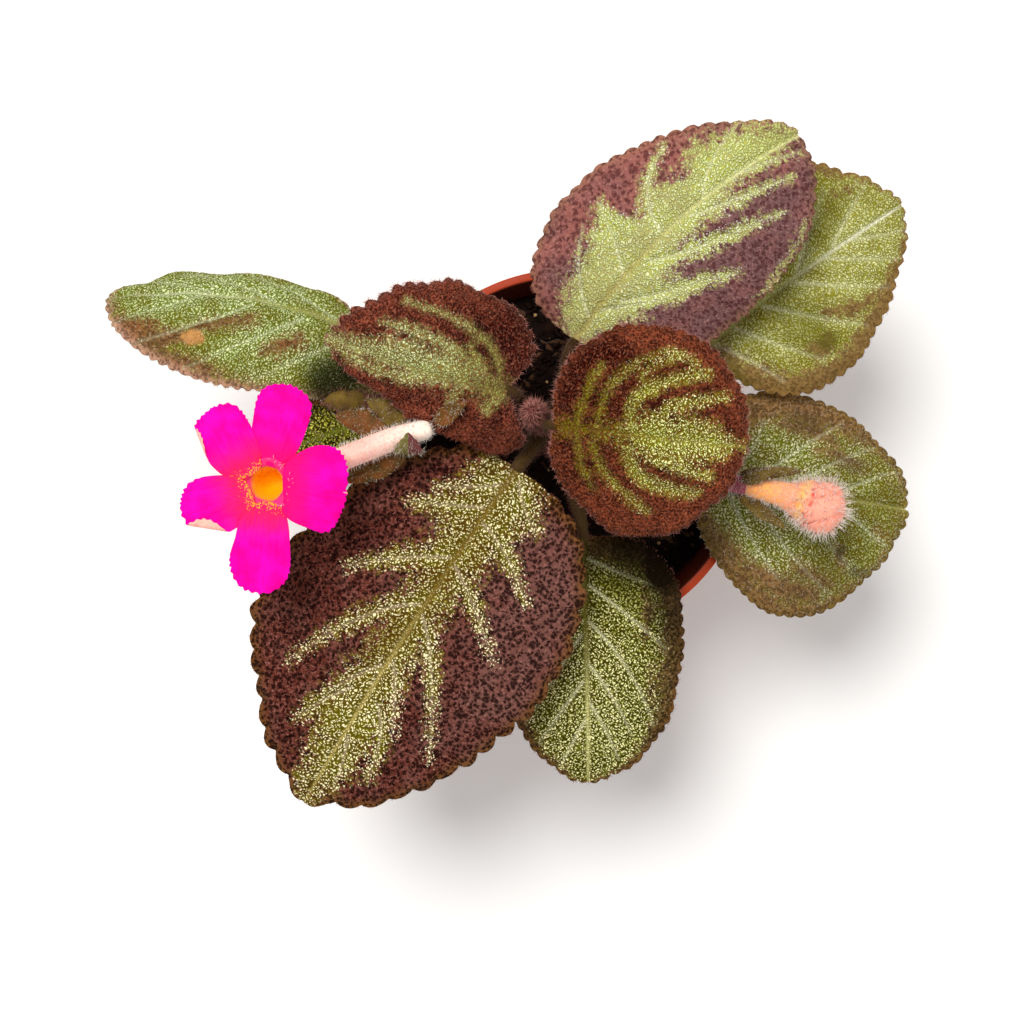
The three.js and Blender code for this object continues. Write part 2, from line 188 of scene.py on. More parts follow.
def throughPoints(points, shares):
    # A smooth path: cubics between neighbouring points, whose slopes come from the points on each side.
    points = np.array(points, float)
    knots = np.concatenate([[0], np.cumsum(np.linalg.norm(np.diff(points, axis=0), axis=1))])
    slopes = np.gradient(points, knots, axis=0, edge_order=1)
    at = np.clip(shares, 0, 1) * knots[-1]
    k = np.clip(np.searchsorted(knots, at, side="right") - 1, 0, len(knots) - 2)
    span = (knots[k + 1] - knots[k])[:, None]
    t = (at - knots[k])[:, None] / span
    return ((2 * t**3 - 3 * t**2 + 1) * points[k] + (t**3 - 2 * t**2 + t) * span * slopes[k]
            + (3 * t**2 - 2 * t**3) * points[k + 1] + (t**3 - t**2) * span * slopes[k + 1])


def rodShape(points, shares, radii, guide=(0, 0, 1)):
    # A rod along a path: path + radius * (cos turn * side + sin turn * other), with a ring of radii for
    # each share. Rings are square to the path, their sides start level with the guide, and each end
    # closes on a pole.
    path = throughPoints(points, shares)
    ahead = unit(throughPoints(points, shares + 0.01) - throughPoints(points, shares - 0.01))
    side = unit(np.cross(guide, ahead))
    other = np.cross(ahead, side)
    turn = turnsOf(radii.shape[1])
    rings = (path[:, None] + radii[..., None] * (np.cos(turn)[None, :, None] * side[:, None]
                                                 + np.sin(turn)[None, :, None] * other[:, None]))
    return np.concatenate([rings.reshape(-1, 3), path[:1], path[-1:]]), closedRings(*radii.shape)


def lumpsOn(shares, sides, along, around, start, seed):
    # Soft lumps on a rod, from -0.5 to 0.5: a random field over the share and the cosine of the turn.
    turn = turnsOf(sides)
    return cloudAt(shares[:, None] * along + 0 * turn, np.cos(turn)[None] * around + start, 1, seed) - 0.5


def outlineAt(leaf, angle):
    # along = L (0.5 + 0.5 cos) - notch (1 - exp(-(away / width)^2)), and
    # across = half sin (1 + egg cos - full cos 2a), each side with its own half, egg and full
    c, s = np.cos(angle), np.sin(angle)
    left = s > 0
    half = np.where(left, leaf["left"], leaf["right"])
    egg = np.where(left, leaf["eggLeft"], leaf["eggRight"])
    full = np.where(left, leaf["fullLeft"], leaf["fullRight"])
    away = np.arccos(np.clip(-c, -1, 1)) / leaf["notchWidth"]
    along = leaf["length"] * (0.5 + 0.5 * c) - leaf["notch"] * (1 - np.exp(-away**2))
    return along, half * s * (1 + egg * c - full * (2 * c * c - 1))


def placeOnBlade(leaf, along, across, rise):
    # The midrib's heading swings and its pitch droops with the share of the length, and the blade rolls
    # about it. Both sides bend down on an arc whose angle at the margin is the cup.
    length = leaf["length"]
    stations = np.linspace(-0.4, 1.25, 331) * length
    share = stations / length
    heading = np.radians(leaf["azimuth"] + leaf["swing"] * share)
    pitch = np.radians(leaf["pitch"] - leaf["droop"] * share)
    ahead = np.stack([np.cos(pitch) * np.cos(heading), np.cos(pitch) * np.sin(heading), np.sin(pitch)], 1)
    path = np.concatenate([[[0, 0, 0]], np.cumsum((ahead[1:] + ahead[:-1]) / 2, 0)])
    path *= stations[1] - stations[0]
    path += np.array(leaf["base"], float) - [np.interp(0, stations, path[:, k]) for k in range(3)]
    level = np.stack([-np.sin(heading), np.cos(heading), 0 * heading], 1)
    upright = np.cross(ahead, level)
    roll = np.radians(leaf["roll"] + leaf["twist"] * share)[:, None]
    side = level * np.cos(roll) + upright * np.sin(roll)
    up = upright * np.cos(roll) - level * np.sin(roll)
    middle, side, up = [np.stack([np.interp(along, stations, table[:, k]) for k in range(3)], -1)
                        for table in (path, side, up)]
    perMm = np.radians(leaf["cup"]) / ((leaf["left"] + leaf["right"]) / 2)
    turn = perMm * across
    return (middle + side * (np.sin(turn) / perMm + rise * np.sin(turn))[..., None]
            + up * ((np.cos(turn) - 1) / perMm + rise * np.cos(turn))[..., None])


def nearRib(x, y, rib):
    # A rib is a parabola through three points, taken as ten chords. Gives the distance to it and the
    # share of its length at the nearest place.
    t = np.linspace(0, 1, 11)[:, None]
    start, middle, end = [np.array(p, float) for p in rib[:3]]
    handle = 2 * middle - (start + end) / 2
    curve = (1 - t)**2 * start + 2 * t * (1 - t) * handle + t**2 * end
    best = np.full(np.shape(x), 1e9)
    share = np.zeros(np.shape(x))
    for k in range(10):
        (ax, ay), (dx, dy) = curve[k], curve[k + 1] - curve[k]
        s = np.clip(((x - ax) * dx + (y - ay) * dy) / (dx * dx + dy * dy), 0, 1)
        distance = np.hypot(x - ax - s * dx, y - ay - s * dy)
        share = np.where(distance < best, (k + s) / 10, share)
        best = np.minimum(best, distance)
    return best, share


def discGrid(nu, nv):
    # A square grid laid over a disc: squares round the centre become rings, and each ring's corners
    # lie at 45 degrees. Gives the ring's share and the angle of each point.
    a, b = np.meshgrid(np.linspace(-1, 1, nu + 1), np.linspace(-1, 1, nv + 1), indexing="ij")
    wide = np.abs(a) > np.abs(b)
    safeA, safeB = np.where(a == 0, 1, a), np.where(b == 0, 1, b)
    angle = np.where(wide, np.pi / 4 * b / safeA, np.pi / 2 - np.pi / 4 * a / safeB)
    angle = angle + np.where(np.where(wide, a, b) < 0, np.pi, 0)
    return np.maximum(np.abs(a), np.abs(b)).ravel(), np.mod(angle, 2 * np.pi).ravel()


def rimOrder(nu, nv):
    # Numbers of the grid's edge points, anticlockwise.
    w = nv + 1
    return np.concatenate([np.arange(nu) * w, nu * w + np.arange(nv), np.arange(nu, 0, -1) * w + nv,
                           np.arange(nv, 0, -1)])


def closeShell(topCount, nu, nv):
    # Faces of a shell whose top grid has twice the steps of its bottom grid each way. The rims are joined
    # by three triangles to each step of the bottom.
    top = gridFaces(nu + 1, nv + 1)
    bottom = gridFaces(nu // 2 + 1, nv // 2 + 1, flip=True) + topCount
    upper = rimOrder(nu, nv)
    lower = rimOrder(nu // 2, nv // 2) + topCount
    k = np.arange(len(lower))
    n, m = len(upper), len(lower)
    b0, b1 = lower, lower[(k + 1) % m]
    t0, t1, t2 = upper[2 * k], upper[2 * k + 1], upper[(2 * k + 2) % n]
    wall = np.concatenate([np.stack([b0, b1, t1], 1), np.stack([b0, t1, t0], 1), np.stack([b1, t2, t1], 1)])
    slots = np.concatenate([np.zeros(len(top)), np.ones(len(bottom)), np.zeros(len(wall))])
    return [top, bottom, wall], slots


# What a blade has unless its own dictionary says otherwise, in millimetres and degrees. Trim, greens and
# margin band are tables of two columns: an angle round the blade or a place along it, then an amount.
plainBlade = {
    "swing": 0, "roll": 0, "twist": 0, "cup": 14, "notch": 0, "notchWidth": 0.35, "eggLeft": 0, "eggRight": 0,
    "fullLeft": 0, "fullRight": 0, "thick": 0.55, "trim": [(0, 0)], "toothPitch": 3.0, "toothDepth": 0.7,
    "toothSharp": 0.5, "toothSpan": 180, "toothStray": 0.35, "pebble": 1.25, "pebbleRise": 0.14, "quilt": 0.5,
    "wave": 0.6, "waveLength": 15, "ribs": [], "streaks": [], "ribWide": 0.34, "ribDepth": 0.5,
    "ribGlow": 0.25, "underRib": 0.9, "midWide": 0.55, "rimWide": 1.6, "greenLeft": [(0, 0)],
    "greenRight": [(0, 0)], "marginBand": [(0, 0)], "cuts": [], "spots": [], "paleAndGlint": [], "calm": [],
    "shades": [], "far": [], "farShare": 0.3, "sparkle": 0,
}
maskSpan = 12  # millimetres over which the masks of green and sparkle run from 0 to 1
mapUnit = 100  # millimetres to one unit of the flat map


def alongMargin(table, angle):
    return np.interp(np.degrees(angle), *zip(*table), period=360)


def acrossRib(widths, share):
    return np.interp(share, [0, 0.5, 1], widths)


def patchesAt(x, y, patches, sharpness=1):
    # A sum of oval patches, each its power * exp(-(distance in half axes, squared) to the sharpness).
    total = np.zeros(len(x))
    for px, py, rx, ry, power in patches:
        total += power * np.exp(-(((x - px) / rx)**2 + ((y - py) / ry)**2)**sharpness)
    return total


def toothedGrid(form, steps):
    # A disc grid stretched to the outline. Each tooth moves the margin by depth * (lobe - 0.7) * size,
    # where lobe = 1 - |2 phase - 1| to the power 1 / sharp, and the trim fades inwards as the ring squared.
    # Gives each point's place, ring, angle, place along the margin and distance from it.
    table = np.linspace(0, 2 * np.pi, 1441)
    arc = np.concatenate([[0], np.cumsum(np.hypot(*np.diff(outlineAt(form, table))))])
    teeth = round(arc[-1] / form["toothPitch"])
    ring, angle = discGrid(*steps)
    edgeX, edgeY = outlineAt(form, angle)
    at = np.interp(angle, table, arc)
    stray = form["toothStray"] * (cloudAt(at, 0 * at, 3 * form["toothPitch"], form["seed"]) - 0.5)
    phase = at / arc[-1] * teeth + stray
    lobe = 1 - np.abs(2 * (phase - np.floor(phase)) - 1)**(1 / form["toothSharp"])
    size = 0.65 + 0.7 * scatter(np.floor(phase) % teeth, 0, form["seed"])
    fromTip = np.abs((np.degrees(angle) + 180) % 360 - 180)
    toothed = smoothStep(0.86, 1, ring) * smoothStep(form["toothSpan"] + 1, form["toothSpan"] - 30, fromTip)
    out = form["toothDepth"] * (lobe - 0.7) * size * toothed + alongMargin(form["trim"], angle) * ring**2
    centre = 0.5 * form["length"] - form["notch"]
    reach = np.hypot(edgeX - centre, edgeY)
    x = centre + ring * (edgeX - centre) + out * (edgeX - centre) / reach
    y = ring * edgeY + out * edgeY / reach
    return x, y, ring, angle, at, (1 - ring) * reach


def ribFields(form, x, y):
    # What the ribs give each point: how far it lies inside the green beside them and inside their sparkle,
    # where painted glints reach, their line exp(-(distance / width)^2) and wider glow, both weaker to the
    # tip, and how near one is.
    # Streaks are green with no rib in it.
    green, sparkle = np.full((2, len(x)), -9.0)
    line, glow = np.zeros((2, len(x)))
    ribGap = np.abs(y)
    for rib in form["ribs"] + form["streaks"]:
        distance, share = nearRib(x, y, rib)
        widths = rib[3] if len(rib) > 3 else (0, 0, 0)
        green = np.maximum(green, (acrossRib(widths, share) - distance) / 1.2)
        sparkle = np.maximum(sparkle, form["sparkle"] * (1 - 0.4 * share) - distance)
        if rib not in form["streaks"]:
            line = np.maximum(line, (1 - 0.75 * share) * np.exp(-(distance / form["ribWide"])**2))
            glow = np.maximum(glow, (1 - 0.5 * share) * np.exp(-(distance / 1.5)**2))
            ribGap = np.minimum(ribGap, distance + 2.2 * share**2)
    return green, sparkle, line, glow, ribGap


def patternMasks(form, x, y, angle, gap, green, sparkle, line, glow, tone):
    # Green is the most that the ribs and the midrib give, cut back by the cuts and the margin's band, with
    # a jagged edge, and its mask is 0.5 on that edge. The other masks are sums of oval patches.
    seed, share = form["seed"], x / form["length"]
    midWide = 0.3 + form["midWide"] * np.clip(1 - share, 0, 1)**1.2
    midLine = np.exp(-(y / midWide)**2) * smoothStep(1.02, 0.9, share)
    halfGreen = np.where(y > 0, *[np.interp(x, *zip(*form[key])) for key in ("greenLeft", "greenRight")])
    green = np.maximum(green, (halfGreen - np.abs(y)) / 2.2)
    jag = (1.5 * (cloudAt(x, y, 2.6, seed + 1) - 0.5) + 0.9 * (tone - 0.5)
           + 0.8 * (cloudAt(x, y, 6, seed + 2) - 0.5))
    for cut in form["cuts"]:
        distance, along = nearRib(x, y, cut)
        green = np.minimum(green, (distance - acrossRib(cut[3], along)) / 1.2)
    green = np.minimum(green, (gap - alongMargin(form["marginBand"], angle)) / 1.6)
    green = np.clip(0.5 + (1.2 * green + 0.35 * jag) / maskSpan, 0, 1)
    sparkle = 0.5 + np.maximum(sparkle, maskSpan * (green - 0.5) + 0.7) / maskSpan
    spot = np.zeros(len(x))
    for px, py, rx, ry in form["spots"]:
        spot = np.maximum(spot, smoothStep(1.25, 0.7, np.hypot((x - px) / rx, (y - py) / ry) + 0.25 * jag))
    # this mask lightens the leaf's own green and sets how strongly the painted glints show
    paleAndGlint = 0.5 + form["ribGlow"] * (glow - 0.3) + patchesAt(x, y, form["paleAndGlint"])
    far = form["farShare"] + patchesAt(x, y, form["far"])
    # shades are painted shadow where other leaves fall across the blade, on back_right and right also the
    # leaf's own dark blotches; calm holds back the painted glints
    shade, calm = patchesAt(x, y, form["shades"], 2), patchesAt(x, y, form["calm"])
    masks = {"pattern": [green, line, midLine], "patches": [sparkle, paleAndGlint, far],
             "edges": [np.exp(-(gap / form["rimWide"])**2), spot, shade, 1 - calm]}
    return {key: np.clip(np.stack(values, 1), 0, 1) for key, values in masks.items()}


def foldEdge(fold, x, y, rise):
    # Past a straight line the surface curls up on an arc of the given radius, then lies back on itself.
    px, py, way, radius = fold
    folded = 2.9  # radians: where the arc ends, just short of flat
    nx, ny = math.cos(math.radians(way)), math.sin(math.radians(way))
    past = (x - px) * nx + (y - py) * ny
    turn = np.clip(past / radius, 0, folded)
    rest = np.maximum(past - folded * radius, 0)
    shift = np.where(past > 0, radius * np.sin(turn) + rest * math.cos(folded) - past, 0)
    lift = radius * (1 - np.cos(turn)) + rest * math.sin(folded)
    return x + shift * nx, y + shift * ny, rise * np.cos(turn) + lift


def bladeFace(form, steps, upper):
    # One face of a blade. It rises in quilts between the ribs, sinks at each rib, and waves towards the
    # margin. The upper face adds pebbles, domes of 1 - (distance / 0.66)^2, and the lower one the midrib's
    # keel. Gives the points, the masks and the flat map.
    seed = form["seed"]
    x, y, ring, angle, at, gap = toothedGrid(form, steps)
    *fields, ribGap = ribFields(form, x, y)
    cell, tone = cellsAt(x, y, form["pebble"], seed)
    masks = patternMasks(form, x, y, angle, gap, *fields, tone)
    inside = smoothStep(0, 2.5, gap)
    ripple = 2 * np.pi * at / form["waveLength"] + 5 * cloudAt(at, 0 * at, 21, seed + 4)
    rise = (form["quilt"] * (1 - np.exp(-(ribGap / 3.2)**2)) * inside
            + form["wave"] * ring**3 * np.sin(ripple)
            + 1.1 * form["quilt"] * (cloudAt(x, y, 7, seed + 5) - 0.5) * inside
            - form["ribDepth"] * np.exp(-(ribGap / 0.8)**2) * inside)
    half = 0.5 * form["thick"] * np.sqrt(np.clip(1 - ring**4, 0, 1))
    if upper:
        dome = np.clip(1 - (cell / 0.66)**2, 0, 1) * smoothStep(0.1, 1.3, ribGap)
        rise += form["pebbleRise"] * dome * (0.35 + 0.65 * inside) * (0.6 + 0.8 * tone) + half
    else:
        taper = np.clip(1.05 - x / form["length"], 0, 1)
        rise -= half + 0.1 + form["underRib"] * taper * np.exp(-(y / (0.5 + 0.7 * taper))**2) * inside
        rise -= 0.35 * np.exp(-(ribGap / 0.8)**2) * inside
        masks["patches"][:] = (0, 0.5, 0)
        masks["edges"][:] = 0
    if "fold" in form:
        x, y, rise = foldEdge(form["fold"], x, y, rise)
    return placeOnBlade(form, x, y, rise), masks, np.stack([x, y], 1) / mapUnit


def bladeSurface(leaf, spacing):
    # A whole blade: the upper face on a grid of the spacing and the lower one on a grid half as fine.
    form = {**plainBlade, **leaf}
    nu, nv = [2 * round(size / spacing / 2) for size in (form["length"], form["left"] + form["right"])]
    upper = bladeFace(form, (nu, nv), True)
    lower = bladeFace(form, (nu // 2, nv // 2), False)
    faces, slots = closeShell(len(upper[0]), nu, nv)
    masks = {key: np.concatenate([upper[1][key], lower[1][key]]) for key in upper[1]}
    return {"points": np.concatenate([upper[0], lower[0]]), "faces": faces, "slots": slots, "masks": masks,
            "flat": np.concatenate([upper[2], lower[2]]), "top": len(upper[0]), "rim": rimOrder(nu, nv)}


def bladePiece(name, surface, skins, node):
    return makePiece(name, surface["points"], surface["faces"], skins, [node], surface["masks"],
                     surface["flat"], surface["slots"])


def hairPiece(name, roots, ways, lengths, thickness, material, curl=None):
    # Hairs as slim cones on three sides. With curl, each hair has a joint half way and leans over by it.
    reference = np.where(np.abs(ways[:, 2:]) < 0.8, [[0.0, 0, 1]], [[1.0, 0, 0]])
    side = unit(np.cross(ways, reference))
    other = np.cross(ways, side)
    turn = turnsOf(3)
    spread = thickness * (np.cos(turn)[None, :, None] * side[:, None]
                          + np.sin(turn)[None, :, None] * other[:, None])
    foot, ahead = roots[:, None] + spread, (ways * lengths[:, None])[:, None]
    if curl is None:
        points = np.concatenate([foot, roots[:, None] + ahead], 1)
        faces = [[(0, 2, 1), (0, 1, 3), (1, 2, 3), (2, 0, 3)]]
    else:
        half = roots[:, None] + 0.55 * ahead + 0.6 * spread
        points = np.concatenate([foot, half, roots[:, None] + 0.95 * ahead + curl[:, None]], 1)
        faces = [[(0, 1, 4, 3), (1, 2, 5, 4), (2, 0, 3, 5)], [(0, 2, 1), (3, 4, 6), (4, 5, 6), (5, 3, 6)]]
    sets = [repeatFaces(few, len(roots), points.shape[1]) for few in faces]
    makePiece(name, points.reshape(-1, 3), sets, [material])


def meshNormals(piece):
    normals = np.zeros(len(piece.data.vertices) * 3, np.float32)
    piece.data.vertices.foreach_get("normal", normals)
    return normals.reshape(-1, 3).astype(float)


def fuzzOnPiece(name, piece, points, count, length, thickness, material, slot, seed, keep=None, curl=False):
    # Hairs over a whole piece: each stands on a point of it, along the normal with a little disorder.
    rng = np.random.default_rng(seed)
    pool = np.arange(len(points)) if keep is None else np.flatnonzero(keep)
    pick = rng.choice(pool, int(count * hairShare))
    normals = meshNormals(piece)[pick]
    ways = unit(normals + rng.normal(0, 0.35, normals.shape))
    lengths = length * rng.uniform(0.55, 1.15, len(pick))
    roots = points[pick] + rng.normal(0, 0.12, normals.shape) * (1 - np.abs(normals)) - 0.05 * normals
    bend = rng.normal(0, 0.22, ways.shape) * lengths[:, None] if curl else None
    hairPiece(name, roots, ways, lengths, thickness, material, bend)


print("tools ready")


def leafSkin(name, look):
    # Living leaf skin: small glassy cells raised like beads, a little longer along the ribs. Over the
    # green each bead gets a painted highlight, a cream glint at its top, and the green is painted darker
    # in the gaps between beads as painted shade; over the bronze dark red pits show between, partly the
    # leaf's own colour and partly painted shade in the hollows.
    material, tree, shader = newMaterial(name, {"IOR": 1.42, "Specular IOR Level": look["shine"]})
    pattern, patches, edges = [addNode(tree, "Attribute", {"attribute_name": key})
                               for key in ("pattern", "patches", "edges")]
    greenMask, ribMask, midMask = addNode(tree, "SeparateColor", {0: pattern}).outputs
    sparkMask, paleAndGlintMask, farMask = addNode(tree, "SeparateColor", {0: patches}).outputs
    rimMask, spotMask, shadeMask = addNode(tree, "SeparateColor", {0: edges}).outputs
    calmMask = edges.outputs["Alpha"]
    flat = addNode(tree, "UVMap", {"uv_map": "flat"})
    swirl = addNode(tree, "TexNoise", {"noise_dimensions": "2D", "Scale": 60, "Detail": 3, "Vector": flat})
    bent = addNode(tree, "VectorMath", {"operation": "MULTIPLY_ADD", 0: swirl.outputs["Color"],
                                        1: (0.014, 0.014, 0), 2: flat})
    # the cells' long way leans from the midrib to the tip, mirrored on the two sides of the leaf
    folded = addNode(tree, "VectorMath", {"operation": "ABSOLUTE", 0: bent})
    leaned = addNode(tree, "Mapping", {"vector_type": "POINT", "Rotation": (0, 0, -0.9), "Vector": folded})
    drawn = addNode(tree, "Mapping", {"Scale": (1 / look["stretch"], 1, 1), "Vector": leaned})
    grain, mottle, clouds, clusters = [
        addNode(tree, "TexNoise", {"noise_dimensions": "2D", "Scale": scale, "Detail": detail,
                                   "Roughness": rough, "Vector": way})
        for scale, detail, rough, way in ((340, 2, 0.6, drawn), (210, 3, 0.7, drawn), (16, 4, 0.5, flat),
                                          (38, 2, 0.5, flat))]
    beads = addNode(tree, "TexVoronoi", {"voronoi_dimensions": "2D", "Scale": mapUnit / look["bead"],
                                         "Randomness": 0.85, "Vector": drawn})
    pits = addNode(tree, "TexVoronoi", {"voronoi_dimensions": "2D", "Scale": mapUnit / look["pitPitch"],
                                        "Vector": bent})
    beadDice = addNode(tree, "SeparateColor", {0: beads.outputs["Color"]}).outputs
    pitDice = addNode(tree, "SeparateColor", {0: pits.outputs["Color"]}).outputs
    # how far a place is from its bead's or pit's middle, frayed by the grain and uneven from cell to cell
    beadAt = addNode(tree, "Math", {"operation": "MULTIPLY_ADD", 0: grain, 1: 0.3, 2: beads})
    sized = addNode(tree, "Math", {"operation": "MULTIPLY_ADD", 0: beadDice[2], 1: 0.25, 2: beadAt})
    pitAt = pits
    for part, power in ((clusters, 0.6), (mottle, 0.5), (pitDice[0], 0.25)):
        pitAt = addNode(tree, "Math", {"operation": "MULTIPLY_ADD", 0: part, 1: power, 2: pitAt})
    dome, glint, pit = [
        addNode(tree, "MapRange", {"interpolation_type": "SMOOTHSTEP", "From Min": low, "From Max": high,
                                   "To Min": power, "To Max": 0.0, "Value": at})
        for low, high, power, at in ((0.28, 0.8, 1.0, beadAt), (0.32, 0.62, 1.0, sized),
                                     (look["pitFrom"], look["pitFrom"] + 0.5, look["pitPower"], pitAt))]
    # the green ends on a line that beads and clusters make ragged
    reach = greenMask
    for part, power in ((beadDice[0], 0.18 * look["ragged"]), (clusters, 0.3 * look["ragged"])):
        reach = addNode(tree, "Math", {"operation": "MULTIPLY_ADD", 0: part, 1: power, 2: reach})
    edge = 0.5 + 0.24 * look["ragged"]
    green = addNode(tree, "MapRange", {"interpolation_type": "SMOOTHSTEP", "From Min": edge - look["soft"],
                                       "From Max": edge + look["soft"], "Value": reach})
    tone = addNode(tree, "MapRange", {"From Min": 0.35, "From Max": 0.65, "Value": clouds})
    farther = addNode(tree, "Math", {"operation": "MULTIPLY_ADD", 0: tone, 1: 0.6, 2: -0.3})
    farther = addNode(tree, "Math", {"operation": "ADD", "use_clamp": True, 0: farther, 1: farMask})
    ground = addNode(tree, "Mix", {"data_type": "RGBA", 0: farther, 6: look["ground"], 7: look["groundFar"]})
    # pinkish flecks on the bronze: partly the leaf's own, partly painted highlight on its bumps
    flecksAndHighlights = addNode(tree, "MapRange", {"From Min": 0.5, "From Max": 0.68, "To Max": look["fleckPower"],
                                      "Value": mottle})
    rim = addNode(tree, "Math", {"operation": "MULTIPLY", 0: rimMask, 1: look["rimPower"]})
    # the pits are dark red: partly the leaf's own colour, partly painted shade in the hollows
    for mask, colour in ((flecksAndHighlights, "fleck"), (rim, "rim"), (pit, "pit")):
        ground = addNode(tree, "Mix", {"data_type": "RGBA", 0: mask, 6: ground, 7: look[colour]})
    # the pale mask lightens the leaf's own green here, and below it sets the strength of the painted glints
    lighter = addNode(tree, "Math", {"operation": "MULTIPLY_ADD", 0: paleAndGlintMask, 1: 1.5, 2: -0.75})
    lighter = addNode(tree, "Math", {"operation": "MULTIPLY_ADD", "use_clamp": True, 0: tone, 1: 0.7,
                                     2: lighter})
    leafy = addNode(tree, "Mix", {"data_type": "RGBA", 0: lighter, 6: look["green"], 7: look["greenFar"]})
    # the gap colours paint the green darker between the beads: painted shade in the grooves
    between = addNode(tree, "Mix", {"data_type": "RGBA", 0: lighter, 6: look["gapFar"], 7: look["gap"]})
    leafy = addNode(tree, "Mix", {"data_type": "RGBA", 0: dome, 6: between, 7: leafy})
    tint = addNode(tree, "Mix", {"data_type": "RGBA", 0: green, 6: ground, 7: leafy})
    # a painted highlight: a bead flashes in the glint colour where the leaf is pale and not calm, and on
    # the beads near the ribs
    spark = addNode(tree, "Math", {"operation": "MULTIPLY_ADD", 0: beadDice[1], 1: 0.16, 2: sparkMask})
    spark = addNode(tree, "MapRange", {"From Min": 0.56, "From Max": 0.62, "Value": spark})
    flash = glint
    for factor in (paleAndGlintMask, calmMask, spark):
        flash = addNode(tree, "Math", {"operation": "MULTIPLY", 0: flash, 1: factor})
    flash = addNode(tree, "Math", {"operation": "MULTIPLY", "use_clamp": True, 0: flash,
                                   1: look["glintPower"]})
    ribPower = addNode(tree, "Math", {"operation": "MULTIPLY", 0: ribMask, 1: look["ribPower"]})
    streak = addNode(tree, "MapRange", {"From Min": 0.35, "From Max": 0.6, "To Min": 0.75, "Value": mottle})
    midPower = midMask
    for factor in (look["midPower"], streak):
        midPower = addNode(tree, "Math", {"operation": "MULTIPLY", 0: midPower, 1: factor})
    along = addNode(tree, "SeparateXYZ", {0: flat}).outputs[0]
    farRib = addNode(tree, "MapRange", {"From Min": look["midFrom"], "From Max": look["midFrom"] + 0.25,
                                        "Value": along})
    midrib = addNode(tree, "Mix", {"data_type": "RGBA", 0: farRib, 6: look["midrib"], 7: look["midribFar"]})
    # the shade colour is painted shadow, on back_right and right also the leaf's own dark blotches
    for mask, colour in ((flash, look["glint"]), (ribPower, look["rib"]), (midPower, midrib),
                         (spotMask, look["spot"]), (shadeMask, look["shade"])):
        tint = addNode(tree, "Mix", {"data_type": "RGBA", 0: mask, 6: tint, 7: colour})
    gloss = addNode(tree, "MapRange", {"To Min": 0.75, "To Max": 0.38, "Value": dome})
    raised = addNode(tree, "Math", {"operation": "SUBTRACT", 0: 1.2, 1: pit})
    raised = addNode(tree, "Math", {"operation": "MULTIPLY_ADD", 0: grain, 1: 0.8, 2: raised})
    height = addNode(tree, "Mix", {"data_type": "FLOAT", 0: green, 2: raised, 3: dome})
    bump = addNode(tree, "Bump", {"Strength": 1.0, "Distance": 0.0003, "Height": height})
    fillNode(shader, {"Base Color": tint, "Roughness": gloss, "Normal": bump})
    return material


def softSkin(name, look):
    # Soft hairy plant skin without pebbles, as on a stalk or the back of a leaf: two tones in long
    # patches, and a matt surface.
    material, tree, shader = newMaterial(name, {
        "IOR": 1.4, "Specular IOR Level": 0.15, "Roughness": look.get("roughness", 0.6),
        "Sheen Weight": 0.06, "Sheen Roughness": 0.5, "Sheen Tint": "#f0d8c8",
    })
    place = addNode(tree, "TexCoord", {}).outputs["Object"]
    clouds = addNode(tree, "TexNoise", {"Scale": look.get("patch", 220), "Detail": 3, "Vector": place})
    grain = addNode(tree, "TexNoise", {"Scale": 1800, "Detail": 2, "Vector": place})
    tone = addNode(tree, "MapRange", {"From Min": 0.36, "From Max": 0.64, "Value": clouds})
    tint = addNode(tree, "Mix", {"data_type": "RGBA", 0: tone, 6: look["dark"], 7: look["light"]})
    fine = addNode(tree, "MapRange", {"From Min": 0.3, "From Max": 0.7, "To Max": 0.6, "Value": grain})
    tint = addNode(tree, "Mix", {"data_type": "RGBA", 0: fine, 6: tint, 7: look["fleck"]})
    if "half" in look:  # the side right of the midrib has a colour of its own
        across = addNode(tree, "SeparateXYZ", {0: addNode(tree, "UVMap", {"uv_map": "flat"})}).outputs
        right = addNode(tree, "MapRange", {"From Min": -0.001, "From Max": 0.001, "To Min": 0.85,
                                           "To Max": 0.0, "Value": across[1]})
        tint = addNode(tree, "Mix", {"data_type": "RGBA", 0: right, 6: tint, 7: look["half"]})
    bump = addNode(tree, "Bump", {"Strength": 0.6, "Distance": 0.0002, "Height": grain})
    fillNode(shader, {"Base Color": tint, "Normal": bump})
    return material


def hairSkin(name, colour):
    # One clear cell after another, thinner than the eye can part: it shows as a pale silky line.
    return newMaterial(name, {"Base Color": colour, "Roughness": 0.45, "IOR": 1.5,
                              "Specular IOR Level": 0.3})[0]


bronzeUnder = softSkin("leaf_back_bronze",
                       {"dark": "#7a3a40", "light": "#9a5a58", "fleck": "#a8785c", "patch": 160})
greenUnder = softSkin("leaf_back_green",
                      {"dark": "#8a8a58", "light": "#a8a070", "fleck": "#b08a70", "patch": 160})
# petioles are painted very dark: their own reddish brown darkened as painted shade under the leaves
petioleShadedSkin = softSkin("petiole_hairy_shaded",
                       {"dark": "#241406", "light": "#403010", "fleck": "#4c3418", "patch": 120})
crownSkin = softSkin("crown_hairy", {"dark": "#300c08", "light": "#5c2820", "fleck": "#744034", "patch": 300})
budStalkSkin = softSkin("bud_stalk_hairy",
                        {"dark": "#702838", "light": "#984858", "fleck": "#b06870", "patch": 300})
stemSkin = softSkin("stem_hairy", {"dark": "#42201a", "light": "#643a2e", "fleck": "#74463a", "patch": 150})
hairPale = hairSkin("hair_pale", "#d8ccb8")
hairPink = hairSkin("hair_pink", "#a06c60")
hairWhite = hairSkin("hair_white", "#f2e6dc")
hairBrown = hairSkin("hair_brown", "#8c5444")
# petiole hair, darkened as painted shade under the leaves:
hairShadedBrown = hairSkin("hair_brown_shaded", "#6c4638")
hairRose = hairSkin("hair_rose", "#b4766a")

